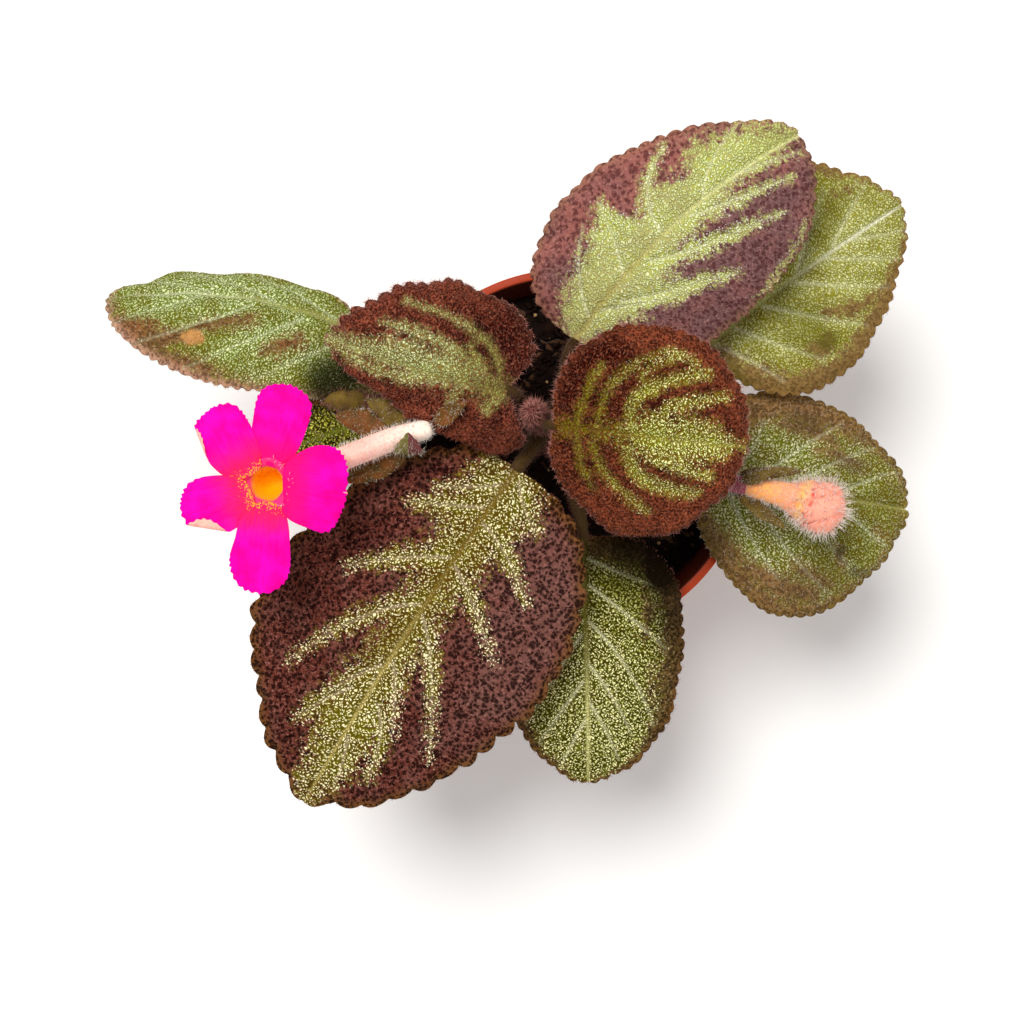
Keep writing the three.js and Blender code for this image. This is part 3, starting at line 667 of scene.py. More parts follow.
# For each leaf: the size of its beads and pits in millimetres, its colours and how strongly each shows.
plainLook = {
    "bead": 0.56, "stretch": 1.15, "pitPitch": 0.95, "pitFrom": 0.75, "pitPower": 0.75, "fleckPower": 0.5,
    "rimPower": 0.6, "ribPower": 0.5, "midPower": 0.9, "midFrom": 0.2, "soft": 0.1, "ragged": 0.8,
    "glintPower": 1.6, "shine": 0.04, "glint": "#fff6c4", "fleck": "#a87868", "rim": "#6b5030",
    "pit": "#180808", "shade": "#10140a", "spot": "#c08a50",
}
looks = {
    "front": {
        "bead": 0.57, "pitPitch": 1.0, "pitFrom": 0.78, "pitPower": 0.9, "soft": 0.13, "ragged": 1.0,
        "ground": "#5c2a20", "groundFar": "#704840", "pit": "#100000", "fleck": "#a06c60",
        "fleckPower": 0.6, "green": "#8c7c24", "greenFar": "#a49c34", "gap": "#585004", "gapFar": "#50380a",
        "glint": "#fdf2c0", "glintPower": 2.2, "rib": "#f0d4bc", "midrib": "#7c6424",
        "midribFar": "#b8a45c", "midFrom": 0.3, "ribPower": 0.35, "rim": "#744c1c", "rimPower": 0.8,
    },
    "back": {
        "bead": 0.5, "ground": "#92574f", "groundFar": "#6c4a4a", "pitPitch": 1.25, "pitFrom": 0.7,
        "pit": "#4c2224", "green": "#c4c870", "greenFar": "#d8e490", "gap": "#acac50", "gapFar": "#a8a064",
        "glint": "#fdffe8", "rib": "#f4f0d4", "ribPower": 0.4, "midrib": "#b4a860", "midribFar": "#e4e4a0",
        "rim": "#a87c58", "rimPower": 0.4, "fleck": "#c09084", "fleckPower": 0.4, "glintPower": 0.9,
    },
    "back_right": {
        "bead": 0.52, "ground": "#84683a", "groundFar": "#745830", "pit": "#4c3814", "pitPower": 0.5,
        "green": "#a8a44c", "greenFar": "#d0d48c", "gap": "#908c34", "gapFar": "#747018",
        "glint": "#faf6c4", "glintPower": 0.5, "rib": "#f0f0cc", "ribPower": 0.38, "midrib": "#acac64",
        "midribFar": "#f0eed4", "rim": "#98743c", "fleck": "#a89060", "shade": "#545410",
    },
    "front_right": {
        "bead": 0.52, "ground": "#54401a", "groundFar": "#6c4e28", "pit": "#140a04", "green": "#84841c",
        "greenFar": "#acb050", "gap": "#403c04", "gapFar": "#343004", "glint": "#fcf4b4", "glintPower": 2.2,
        "rib": "#e4e0b4", "ribPower": 0.75, "midrib": "#847c30", "midribFar": "#d8d48c", "rim": "#704820",
        "fleck": "#b09c70", "shade": "#140c02",
    },
    "right": {
        "bead": 0.52, "stretch": 1.2, "ground": "#7c5c34", "groundFar": "#805c38", "pit": "#342010",
        "pitPower": 0.6, "green": "#868628", "greenFar": "#acb464", "gap": "#60640e", "gapFar": "#645818",
        "glint": "#f4f0c8", "glintPower": 1.0, "rib": "#e4e4c8", "ribPower": 0.45, "midrib": "#8c8440",
        "midribFar": "#a8a45c", "rim": "#7c6024", "soft": 0.2, "fleck": "#ac946c", "shade": "#503e24",
    },
    "left": {
        "bead": 0.52, "stretch": 1.2, "ground": "#74542c", "groundFar": "#844e28", "pit": "#342010",
        "pitPower": 0.6, "green": "#8c942c", "greenFar": "#bcd088", "gap": "#687018", "gapFar": "#605c14",
        "glint": "#f4f8c0", "glintPower": 0.9, "rib": "#e0e4bc", "ribPower": 0.45, "midrib": "#a8a85c",
        "midribFar": "#dce0b4", "rim": "#c4967c", "rimPower": 0.9, "soft": 0.18, "fleck": "#b09470",
    },
    "small": {
        "ground": "#4c4814", "groundFar": "#5c4c20", "pit": "#1c1a02", "green": "#68680c",
        "greenFar": "#949424", "gap": "#302e02", "gapFar": "#281e02", "glint": "#dce064", "rib": "#8c8c34",
        "midrib": "#788028", "midribFar": "#788028", "rim": "#5c4c20",
    },
    "young_left": {
        "bead": 0.42, "stretch": 1.3, "pitPitch": 0.6, "pitPower": 0.8, "ragged": 0.5, "soft": 0.15,
        "ground": "#3c0c04", "groundFar": "#803c28", "pit": "#140202", "fleck": "#b07058",
        "green": "#a4ac54", "greenFar": "#ccdc90", "gap": "#8c8840", "gapFar": "#846834",
        "glint": "#f4f4c0", "glintPower": 1.0, "rib": "#a0ac5c", "ribPower": 0.1, "midrib": "#8c8440",
        "midribFar": "#b8c884", "midPower": 0.3, "rim": "#84483a",
    },
    "young_right": {
        "bead": 0.42, "stretch": 1.3, "pitPitch": 0.6, "pitPower": 0.8, "ragged": 0.5, "soft": 0.15,
        "ground": "#3a0a02", "groundFar": "#803c24", "pit": "#140202", "fleck": "#b06c4c",
        "green": "#909018", "greenFar": "#c4d050", "gap": "#706810", "gapFar": "#6c480c",
        "glint": "#fffcb8", "rib": "#9aa048", "ribPower": 0.1, "midrib": "#745c0c", "midribFar": "#bcb850",
        "midPower": 0.5, "midFrom": 0.12, "rim": "#84442c",
    },
}

allGreen = {"greenLeft": [(0, 30)], "greenRight": [(0, 30)]}

# Each leaf: its form, as in the frame, then its surface. Ribs are three points along and across the
# blade, then the half width of the green beside them at the start, the middle and the end. Streaks are
# green with no rib in it and cuts are bronze in the green, given the same way.
leaves = {
    "back_right": {
        "base": (30.5, 23, 82), "azimuth": 40, "swing": -8, "pitch": 8, "droop": 26, "length": 59,
        "left": 28, "right": 23, "eggLeft": -0.36, "eggRight": -0.33, "fullLeft": 0.11, "fullRight": 0.04,
        "notch": 0.5, "seed": 11, "pebble": 1.05, "toothPitch": 3.2, "toothDepth": 0.8, "quilt": 0.9,
        "ribWide": 0.45, **allGreen, "ribGlow": 0.4, "trim": [(0, -1), (30, 0), (180, 0), (325, -1.2)],
        "marginBand": [(0, 0.5), (30, 1.5), (60, 3), (180, 4), (215, 6), (270, 5.5), (310, 4), (340, 1.2)],
        "ribs": [((3, -1), (7, -9), (10, -17)), ((9, -1), (15, -11), (21, -19)),
                 ((17, -1), (26, -11), (34, -18)), ((26, -1), (35.5, -8.5), (44, -14)),
                 ((35, -0.5), (43, -6), (50, -10)), ((43, -0.5), (50, -3.6), (55, -5)),
                 ((8, 1), (14.5, 10), (22, 19)), ((18, 1), (26.5, 10), (36, 18)),
                 ((28, 1), (36, 7), (43, 12)), ((38, 1), (46, 5.2), (52, 8))],
        "cuts": [((20, -15), (22, -16.5), (24, -15.5), (1.5, 2.2, 1.5)),
                 ((27, -10), (33, -13), (39, -14), (0.8, 1.8, 1.2)),
                 ((42, 9), (45, 10), (49, 9), (0.2, 0.8, 0.4))],
        "paleAndGlint": [(8, -8, 6, 10, 0.25), (40, -6, 12, 5, 0.35), (44, 0, 12, 3, 0.5), (54, 0, 5, 14, 0.15)],
        "shades": [(22, -9, 6, 7, 0.35), (24, -16, 2.6, 2.2, 0.55), (38, 9, 10, 5, 0.3),
                   (1, -10, 3, 12, 0.5)],
    },
    "front_right": {
        "base": (3.5, -19, 83), "azimuth": -88, "swing": -1, "pitch": 4, "droop": 26, "length": 60,
        "left": 24.5, "right": 21, "eggLeft": -0.14, "eggRight": -0.15, "fullLeft": -0.1, "fullRight": 0.03,
        "notch": 2, "seed": 23, "pebble": 1.1, "toothDepth": 0.8, "quilt": 0.7, **allGreen, "ribGlow": 0.35,
        "trim": [(0, -0.5), (35, -1.2), (60, 0), (180, 0), (330, -0.8)],
        "marginBand": [(0, 1), (25, 2.5), (45, 3.5), (80, 6), (170, 6), (200, 4), (300, 4), (335, 2)],
        "ribs": [((5, 1), (9, 9.5), (12, 17)), ((11, 1), (18.5, 10), (26, 18)),
                 ((19, 0.5), (30, 9), (44, 15)), ((29, 0.5), (37, 5.8), (46, 10)),
                 ((38, 0.5), (45, 4.2), (52, 7)), ((6, -1), (10, -9), (14, -15)),
                 ((14, -1), (22, -9), (31, -15)), ((22, -1), (32, -7.5), (42, -14)),
                 ((33, -1), (40.5, -6.5), (47, -11)), ((42, -0.5), (48, -3.8), (53, -6))],
        "cuts": [((12, 14), (18, 14), (24, 13), (0.5, 1.6, 0.5)),
                 ((30, 14), (35, 14.5), (39, 14), (0.3, 1.2, 0.3))],
        "paleAndGlint": [(34, 3, 14, 7, 0.4), (50, 2, 7, 10, 0.1), (8, 8, 12, 12, -0.35)],
        "shades": [(2, 12, 11, 12, 0.9), (4, -8, 9, 10, 0.55), (14, 20, 14, 6, 0.7)],
    },
    "small": {
        "base": (-47, 6.5, 85), "azimuth": 200, "pitch": 6, "droop": 20, "length": 25, "left": 9,
        "right": 9, "eggLeft": -0.1, "eggRight": -0.1, "notch": 2, "seed": 37, "pebble": 1.0,
        "toothPitch": 2.2, "toothDepth": 0.5, "wave": 0.3, "greenLeft": [(0, 12), (25, 12)],
        "greenRight": [(0, 12), (25, 12)], "marginBand": [(0, 0.8), (180, 1)],
        "ribs": [((3, 0.5), (6, 4), (9, 7)), ((9, 0.5), (13, 4), (17, 6)), ((3, -0.5), (6, -4), (9, -7)),
                 ((9, -0.5), (13, -4), (17, -6)), ((15, 0.5), (19, 2.5), (22, 3.5)),
                 ((15, -0.5), (19, -2.5), (22, -3.5))],
    },
    "right": {
        "base": (37, -7, 78), "azimuth": -6.5, "swing": -4, "pitch": 2, "droop": 26, "length": 54.5,
        "left": 22.5, "right": 24.5, "eggLeft": -0.19, "eggRight": 0.14, "fullRight": 0.19, "notch": 11,
        "seed": 41, "pebble": 1.0, "toothPitch": 2.8, "quilt": 1.0, "ribDepth": 0.6, **allGreen,
        "ribGlow": 0.55, "trim": [(0, -0.4), (50, -0.8), (90, 0), (270, 0)],
        "marginBand": [(0, 1.2), (40, 2.5), (60, 5), (90, 8), (140, 8), (170, 1), (190, 1), (220, 5),
                       (260, 6), (300, 3), (330, 1.5)],
        "ribs": [((0, 2), (4, 8), (6, 15)), ((6, 1), (14, 9), (24, 17)), ((14, 1), (23, 7.6), (33, 13)),
                 ((24, 0.5), (31, 4.6), (38, 8)), ((0, -2), (6, -11), (14, -20)),
                 ((6, -1), (14, -12), (26, -21)), ((14, -1), (24, -9.8), (34, -17)),
                 ((25, -0.5), (33, -5.8), (39, -9))],
        "cuts": [((10, 15), (17, 14.5), (23, 12), (1.5, 2.2, 1)),
                 ((19, 10), (24, 9.4), (29, 8), (1, 1.8, 0.6)),
                 ((26, -11), (28, -13.5), (30, -16), (0.5, 1, 0.5)),
                 ((18, -16.5), (22, -18.5), (27, -20), (1.2, 2, 1.4)),
                 ((8, -19), (15, -22), (23, -22.5), (2.5, 3.2, 2.4)),
                 ((-5, -9), (0, -13.5), (5, -17), (1.6, 2.6, 1.6)),
                 ((36, -6), (37, -6.5), (38, -7), (0.3, 0.6, 0.3))],
        "paleAndGlint": [(14, 9, 9, 4, 0.25), (0, -6, 9, 4, 0.5), (12, -13, 8, 6, 0.25), (36, 0, 8, 14, -0.15)],
        "shades": [(15, 16, 5, 3, 0.6), (27, 8, 4, 2, 0.5), (-2, -14, 5, 6, 0.4), (28, -12, 1.2, 1.8, 0.8),
                   (33, -16, 2.4, 1.4, 0.6), (22, -21, 8, 4, 0.4)],
    },
    "left": {
        "base": (-43.5, 25, 87), "azimuth": 154, "swing": 35, "pitch": 8, "droop": 20, "roll": 36,
        "twist": 20, "cup": 38, "length": 62, "left": 22.5, "right": 12.6, "eggRight": 0.25, "notch": 0.7,
        "seed": 53, "pebble": 1.05, "toothPitch": 2.8, "quilt": 0.7, **allGreen, "ribGlow": 0.45,
        "trim": [(0, 0), (112, 0), (128, 2.5), (142, 5.5), (157, 10), (168, 10), (180, 6), (198, 0)],
        "shades": [(4, 14, 8, 7, 0.9), (-1, 6, 6, 5, 0.6)],
        "marginBand": [(0, 1), (15, 2.5), (40, 5), (75, 4), (110, 1.5), (180, 1), (300, 1)],
        "ribs": [((6, 2), (13, 11.5), (24, 20)), ((16, 2), (27, 12), (40, 20)),
                 ((28, 2), (40, 10), (53, 15)), ((40, 1), (50, 6), (58, 9)),
                 ((10, -1), (20, -5.4), (30, -9)), ((24, -1), (34, -5.4), (45, -9)),
                 ((38, -1), (47, -4.4), (54, -7))],
        "cuts": [((15, 8), (19, 11), (22, 13), (1.5, 2.2, 1.2)),
                 ((27, 6.5), (33, 8.5), (39, 10.5), (1.6, 2.2, 1.6)),
                 ((41, 13), (50, 13), (58, 9), (2.2, 4, 3)), ((34, 19), (40, 19), (48, 18), (1.5, 2.5, 2))],
        "spots": [(38.5, 13.2, 2.8, 1.9)],
        "paleAndGlint": [(38, -2, 20, 5, 0.6), (24, 12, 6, 5, 0.35), (17, 10, 7, 8, 0.25), (44, 6, 8, 3, 0.2)],
    },
    "back": {
        "base": (1.5, 24.5, 92), "azimuth": 56, "swing": -29, "pitch": 22, "droop": 30, "cup": 16,
        "length": 70, "left": 19, "right": 27, "eggLeft": -0.45, "fullLeft": 0.06, "fullRight": -0.07,
        "notch": 2.5, "seed": 67, "pebble": 1.12, "toothPitch": 3.2, "toothDepth": 0.8, "quilt": 0.8,
        "ribGlow": 0.3, "trim": [(0, -0.8), (40, 0), (180, 0), (330, 0)],
        "greenLeft": [(-3, 3), (2, 5), (8, 8), (14, 9), (19, 9.5), (21, 11.5), (24, 13), (26, 11),
                      (27.5, 7), (29, 6.5), (31, 8), (34, 9.5), (36, 8.5), (38, 6.8), (42, 6.6), (44, 9),
                      (47, 10), (51, 9), (56, 7), (61, 5), (65, 2)],
        "greenRight": [(-3, 1.5), (5, 4), (9, 6), (13, 7.5), (18, 9), (23, 8), (28, 6.5), (33, 4.8),
                       (38, 4.2), (43, 3.5), (48, 2), (53, 1.2), (58, 1), (66, 0)],
        "marginBand": [(0, 0.3), (60, 0.3), (180, 0.5), (300, 0.3)],
        "ribs": [((6, 0.5), (12, 8), (20, 14), (1, 0.8, -1)), ((18, 0.5), (22, 7), (25, 14), (2, 1.6, 1)),
                 ((30, 1), (34, 9.5), (42, 14), (2, 1.4, 0.4)), ((42, 1), (49, 6), (58, 9), (2, 1.5, 0)),
                 ((9, -1), (16, -7), (24, -12), (1.5, 1.5, 1)),
                 ((13, -3), (22, -9.5), (37, -17), (2, 2.3, 0.3)),
                 ((24, -2), (36, -8), (54, -12.5), (2, 1.7, 0.2)),
                 ((37, -1), (47, -4.4), (60, -7), (1.6, 1.1, 0.2)),
                 ((50, 0), (57, -1.6), (64, -3.2), (1.2, 0.8, 0.2))],
        "streaks": [((36, -23.4), (47, -22.2), (58, -16.6), (-0.3, 0.5, 0))],
        "cuts": [((28.5, 9), (29, 11), (30, 13), (1, 2, 2)),
                 ((39, 8), (41, 8.4), (43, 9.5), (1, 1.6, 1.6))],
        "paleAndGlint": [(54, 4, 10, 6, 0.4), (24, 9, 6, 5, 0.3), (36, -7, 24, 6, 0.3), (6, 6, 8, 5, -0.2)],
        "calm": [(62, 4, 14, 12, 0.85), (46, 9, 8, 4, 0.5)],
        "far": [(10, 8, 10, 8, 0.4), (40, -14, 40, 14, 0.9), (40, 14, 30, 8, -0.3)],
    },
    "front": {
        "base": (-11.5, -4, 99), "azimuth": -125, "swing": 5, "pitch": 4, "droop": 22, "length": 90.5,
        "left": 33, "right": 30, "eggLeft": -0.12, "eggRight": 0.06, "fullRight": 0.08, "notch": 3,
        "seed": 79, "midWide": 0.6, "sparkle": 2.6, "rimWide": 2.2, "pebble": 1.35, "toothPitch": 6.0,
        "toothDepth": 1.3, "quilt": 0.6, "farShare": 0.25, "ribGlow": 0.3,
        "trim": [(0, 2), (4, 1.2), (9, -0.4), (44, -1.6), (72, -1.2), (90, 0), (180, 0), (270, 0),
                 (289, 1.5), (311, -1.8), (320, -1.8), (350, -0.6)],
        "greenLeft": [(-3, 6), (5, 9), (10, 9), (18, 6), (23, 6.5), (30, 5), (36, 4.5), (44, 4), (50, 4.5),
                      (56, 5), (60, 5.5), (66, 6), (70, 6), (78, 4.5), (86, 2), (90, 0)],
        "greenRight": [(-3, 5), (4, 7.5), (10, 8.5), (20, 6.5), (24, 6), (32, 5), (38, 5), (46, 5.5),
                       (52, 5.5), (56, 6.5), (62, 7.5), (67, 8), (70, 6), (76, 4.6), (82, 4), (87, 1.5),
                       (90, 0)],
        "ribs": [((2, 2), (6, 6), (9, 11), (2, 2, 0.8)), ((14, 1), (17, 9), (23, 18), (3, 2.2, -0.4)),
                 ((25, 1), (30, 9), (38, 19), (2.5, 1.4, -0.8)),
                 ((38, 1), (48, 9.5), (65, 19), (2.2, 1.2, -0.8)),
                 ((50, 1), (56, 5), (64, 9), (1.6, 0.6, -1)),
                 ((60, 3), (67, 7.5), (76, 9.2), (1.8, 1.6, 0.4)),
                 ((70, 1), (76, 3), (82, 4), (1, 1, 0.5)), ((5, -1), (9, -6), (13, -12), (2, 2, 0.4)),
                 ((11, -1), (15, -8), (19, -15), (3, 2.2, 0.6)),
                 ((24, -1), (30, -10), (38, -19), (3, 2.2, -0.2)),
                 ((36, -1), (46, -10.5), (62, -18.5), (2.6, 1.8, -0.2)),
                 ((52, -1), (58, -5), (64, -8), (2, 1.6, 1)),
                 ((60, -4), (66, -8), (72, -10.6), (2, 2, 0.6))],
        "cuts": [((70.5, 7), (76, 6.6), (82, 5.5), (0.6, 1.6, 1.2)),
                 ((70, -7.6), (75, -7.4), (80, -6), (0.6, 1.6, 1.2))],
        "paleAndGlint": [(66, 3, 14, 8, 0.35), (6, 5, 7, 5, 0.25), (36, 2, 10, 6, -0.15), (50, -5, 7, 5, -0.3),
                   (44, 10, 20, 6, 0.2)],
        "far": [(30, 22, 26, 10, 0.9), (10, 14, 10, 7, 0.5), (75, 0, 12, 40, -0.2),
                (40, -20, 40, 12, -0.25)],
    },
    "young_left": {
        "base": (-13, 12, 112), "azimuth": 173, "swing": -27, "pitch": 16, "droop": 40, "roll": -16,
        "cup": 55, "length": 52.5, "left": 16.5, "right": 19.5, "eggLeft": -0.5, "fullLeft": -0.17,
        "fullRight": 0.16, "notch": 11.8, "notchWidth": 0.5, "seed": 83, "pebble": 0.85, "toothPitch": 3.4,
        "toothDepth": 1.4, "quilt": 0.9, "ribDepth": 0.3, "ribGlow": 0,
        "trim": [(0, -0.6), (8, 0.2), (20, -1.2), (35, -2), (54, -2.6), (66, -1.6), (78, -0.8), (95, 0),
                 (125, 1.5), (145, 3), (162, 3), (180, 0), (270, 1), (300, 0.2), (330, -1), (345, -1)],
        "greenLeft": [(0, 0), (4, 0.6), (8, 0.2), (12, 0.3), (17, 0.9), (24, 0.7), (30, 0.7), (36, 1.2),
                      (40, 2.4)],
        "greenRight": [(0, 0.3), (4, 2), (8, 3.6), (12, 4.4), (18, 4), (24, 3.6), (28, 3), (32, 1.6),
                       (36, 0), (40, -1)], "marginBand": [(0, 0), (90, 1), (180, 1), (270, 1)],
        "ribs": [((3, -3), (10, -11), (27, -12.6), (0.4, 0.3, -0.1))],
        "streaks": [((9, -3.4), (17, -6.8), (30, -6.8), (0.5, 0.7, 0)),
                    ((17, 0.6), (25, 2.4), (35, 1.8), (0.6, 0.7, 0.3)),
                    ((1.5, 1), (3, 2.4), (4, 4), (0.9, 1, 0.5)),
                    ((10.5, 1), (11.3, 2.4), (12, 4), (0.7, 0.7, 0.3)),
                    ((6, -2), (8, -4.6), (10, -7), (0.8, 0.8, 0.5))],
        "cuts": [((18, -5.4), (23, -5.9), (28, -5), (0.4, 0.9, 0.4))], "calm": [(0, -4, 12, 14, 0.8)],
        "paleAndGlint": [(22, -2, 13, 4, 0.4), (24, -7, 8, 2, 0.2), (5, -4, 8, 9, -0.35)],
        "far": [(10, 12, 30, 8, 0.7), (34, -6, 8, 5, 0.5), (20, -18, 14, 6, 0.7), (1, -12, 9, 10, -0.6)],
    },
    "young_right": {
        "base": (-3.8, 4.8, 112), "azimuth": -8, "swing": 3, "pitch": 14, "droop": 34, "roll": 12,
        "cup": 38, "length": 44.5, "left": 24.5, "right": 22, "eggRight": 0.14, "fullRight": 0.17,
        "notch": 3, "seed": 97, "pebble": 0.85, "toothDepth": 0.8, "quilt": 1.1, "ribDepth": 0.3,
        "ribGlow": 0, "greenLeft": [(0, 0.4), (8, 0.8), (14, 1), (17, 2.8), (20, 4), (26, 4.2), (30, 4),
                                    (34, 2.4), (38, 0.4), (39, -1)],
        "greenRight": [(0, 0.4), (8, 0.8), (14, 1), (17, 2.2), (20, 3.2), (26, 3.6), (31, 3.2), (35, 1.6),
                       (38, 0.2), (39, -1)],
        "marginBand": [(0, 1), (60, 2.5), (90, 2.5), (180, 2), (270, 2.5), (330, 2)],
        "ribs": [((16, 2), (18.5, 9.5), (30.5, 14), (0.9, 1.1, 0.5)),
                 ((9, 1), (12, 11), (21, 17.5), (0.3, 0.4, 0.3)),
                 ((5, 1), (6.3, 8), (8.5, 14), (0.4, 0.4, -0.2)),
                 ((8.5, -1), (12, -9), (22, -16.4), (0.5, 0.5, 0.5)),
                 ((16, -2), (20.5, -9), (32, -10.8), (0.8, 1.1, 0.6)),
                 ((5, -1), (7, -8), (10, -13), (0.4, 0.5, -0.2))],
        "streaks": [((22, 5), (27, 7.8), (34.5, 9.6), (0.6, 0.6, 0.4)),
                    ((20, 17), (24, 18), (28, 15.6), (0.4, 0.4, 0)),
                    ((17, 12), (21, 16), (26, 17), (0.1, 0.5, 0.3)),
                    ((22, -4), (28, -5.8), (34, -6.6), (0.6, 0.5, 0.3))], "calm": [(2, 0, 13, 40, 0.85)],
        "cuts": [((24, 7.6), (27, 9.4), (30, 11), (0.4, 0.9, 0.4)),
                 ((22, -6.2), (27, -7.2), (31, -7.4), (0.3, 0.7, 0.3))],
        "paleAndGlint": [(27, 0, 12, 10, 0.35), (7, 0, 9, 20, -0.4)],
        "far": [(24, -19, 30, 9, 0.8), (36, 0, 6, 30, 0.5), (6, 12, 10, 12, -0.4), (20, 22, 16, 5, 0.7)],
    },
}

bronzeLeaves = ("front", "back", "young_left", "young_right")
paleHaired = ("right", "left", "small")
ovalShare = 0.785  # how much of its box an oval fills
# hairs per square millimetre and their length, hairs per millimetre of margin and theirs, thickness
hairsOf = {
    "front": (0.5, 0.6, 3, 0.8, 0.045), "back": (0.5, 0.6, 3, 0.8, 0.045),
    "back_right": (0.4, 0.6, 3, 0.8, 0.045), "front_right": (0.5, 0.6, 3, 1.0, 0.045),
    "right": (1.2, 0.9, 3, 1.0, 0.05), "left": (0.8, 0.8, 3, 0.9, 0.05), "small": (2, 1.0, 4, 1.3, 0.05),
    "young_left": (2.2, 0.9, 5, 1.9, 0.06), "young_right": (2.2, 0.9, 5, 1.8, 0.06),
}

for number, (name, leaf) in enumerate(leaves.items()):
    surface = bladeSurface(leaf, bladeSpacing)
    under, slotName = (bronzeUnder, "bronze_leaf") if name in bronzeLeaves else (greenUnder, "green_leaf")
    leafTop = leafSkin("leaf_skin_" + name, {**plainLook, **looks[name]})
    blade = bladePiece("blade_" + name, surface, [leafTop, under], "leaf_" + name)
    perArea, areaLength, perEdge, edgeLength, thickness = hairsOf[name]
    rng = np.random.default_rng(500 + number)
    top, rim = surface["points"][:surface["top"]], surface["rim"]
    normals = meshNormals(blade)[:surface["top"]]
    area = ovalShare * leaf["length"] * (leaf["left"] + leaf["right"])
    pick = rng.choice(len(top), int(area * perArea * hairShare))
    ways = unit(normals[pick] + rng.normal(0, 0.8, (len(pick), 3)))
    roots = top[pick] + rng.normal(0, 0.1, (len(pick), 3)) * [1, 1, 0.2]
    lengths = areaLength * rng.uniform(0.5, 1.2, len(pick))
    perimeter = np.linalg.norm(np.diff(top[rim], axis=0), axis=1).sum()
    edge = rng.integers(0, len(rim), int(perimeter * perEdge * hairShare))
    outward = unit(np.cross(top[rim[(edge + 1) % len(rim)]] - top[rim[edge - 1]], normals[rim[edge]]))
    edgeWays = unit(outward + 0.25 * normals[rim[edge]] + rng.normal(0, 0.35, (len(edge), 3)))
    edgeLengths = edgeLength * rng.uniform(0.5, 1.15, len(edge))
    tint = hairPale if name in paleHaired else hairBrown
    hairPiece("hairs_" + name, roots, ways, lengths, thickness, tint)
    hairPiece("fringe_" + name, top[rim[edge]] - 0.1 * outward, edgeWays, edgeLengths, thickness,
              hairRose if name.startswith("young") else tint)
print("leaves ready")


stem = {"points": [(0, 0, 50), (0, 0, 57), (0, 0, 64), (-2.5, 2.5, 76), (-5.5, 5.5, 91), (-8, 7.8, 105)],
        "footRadius": 3.4, "tipRadius": 2.4, "clearance": 0.75, "lean": 135, "foot": 50, "rise": 55,
        "hairFrom": 63}
petioles = {  # height on the stem, azimuth, radius
    "back_right": (76, 36, 1.5), "front_right": (77, -72, 1.5), "small": (79, 188, 1.1),
    "right": (81, -12, 1.5), "left": (83, 158, 1.5), "back": (88, 62, 1.6), "front": (92, -112, 1.7),
    "young_left": (101, 140, 1.3), "young_right": (101, -40, 1.3),
}


def levelWay(azimuth):
    return np.array([math.cos(math.radians(azimuth)), math.sin(math.radians(azimuth)), 0.0])


def leaveStem(height, azimuth, sink):
    # The point just clear of the stem's side at a height and in a level direction, or sunk into it.
    points = np.array(stem["points"], float)
    centre = np.array([np.interp(height, points[:, 2], points[:, k]) for k in range(3)])
    share = (height - points[0, 2]) / (points[-1, 2] - points[0, 2])
    radius = stem["footRadius"] + (stem["tipRadius"] - stem["footRadius"]) * share
    leaning = max(0.0, math.cos(math.radians(azimuth - stem["lean"])))
    return centre + levelWay(azimuth) * (radius + stem["clearance"] * (1 + 0.4 * leaning) - sink)


def stalk(name, points, radii, sides, steps, material, slot, node, seed, rough, hair, guide=(0, 0, 1)):
    # A stalk with soft lumps: its radius follows the list along its length, times 1 + 2 * rough * lumps.
    # Hair gives the count, length, thickness and material of its hairs.
    shares = np.concatenate([[0, 0.002], np.linspace(0.01, 0.99, steps), [0.998, 1]])
    radius = np.interp(shares, np.linspace(0, 1, len(radii)), radii)
    radius[[0, -1]] *= 0.6
    lumps = lumpsOn(shares, sides, steps / 3, 1.5, 3, seed)
    points, faces = rodShape(points, shares, radius[:, None] * (1 + 2 * rough * lumps), guide)
    piece = makePiece(name, points, faces, [material], [node])
    fuzzOnPiece("hairs_" + name, piece, points, *hair, slot, seed + 1)


stemSides = 40
stemShares = np.concatenate([[0, 0.003], np.linspace(0.01, 0.99, 90), [0.997, 1]])
stemTurn = turnsOf(stemSides)
stemRadii = (np.interp(stemShares, [0, 1], [stem["footRadius"], stem["tipRadius"]])[:, None]
             * np.ones((1, stemSides)))
for height, azimuth, radius in petioles.values():  # a swollen collar where each petiole leaves
    share = (height - stem["foot"]) / stem["rise"]
    away = np.abs((np.degrees(stemTurn) + 90 - azimuth + 180) % 360 - 180)[None] / 60
    stemRadii += 0.35 * np.exp(-((stemShares[:, None] - share) / 0.035)**2 - away**2)
stemRadii *= 1 + 0.12 * lumpsOn(stemShares, stemSides, 22, 2, 5, 5)
stemRadii[0] *= 0.5
stemRadii[-1] *= 0.7
stemPoints, stemFaces = rodShape(stem["points"], stemShares, stemRadii, (0, 1, 0))
stemPiece = makePiece("stem_body", stemPoints, stemFaces, [stemSkin], ["stem"])
fuzzOnPiece("hairs_stem", stemPiece, stemPoints, 2200, 1.5, 0.07, hairPink, "stem", 61,
            keep=stemPoints[:, 2] > stem["hairFrom"])

stalk("crown", [(-8, 7.8, 104.6), (-8.1, 7.9, 107.5), (-8.3, 8, 110)], [2.1, 2.2, 1.7, 0.8], 24, 16,
      crownSkin, "stem", "crown_tip", 71, 0.2, (420, 2.1, 0.085, hairRose), (0, 1, 0))

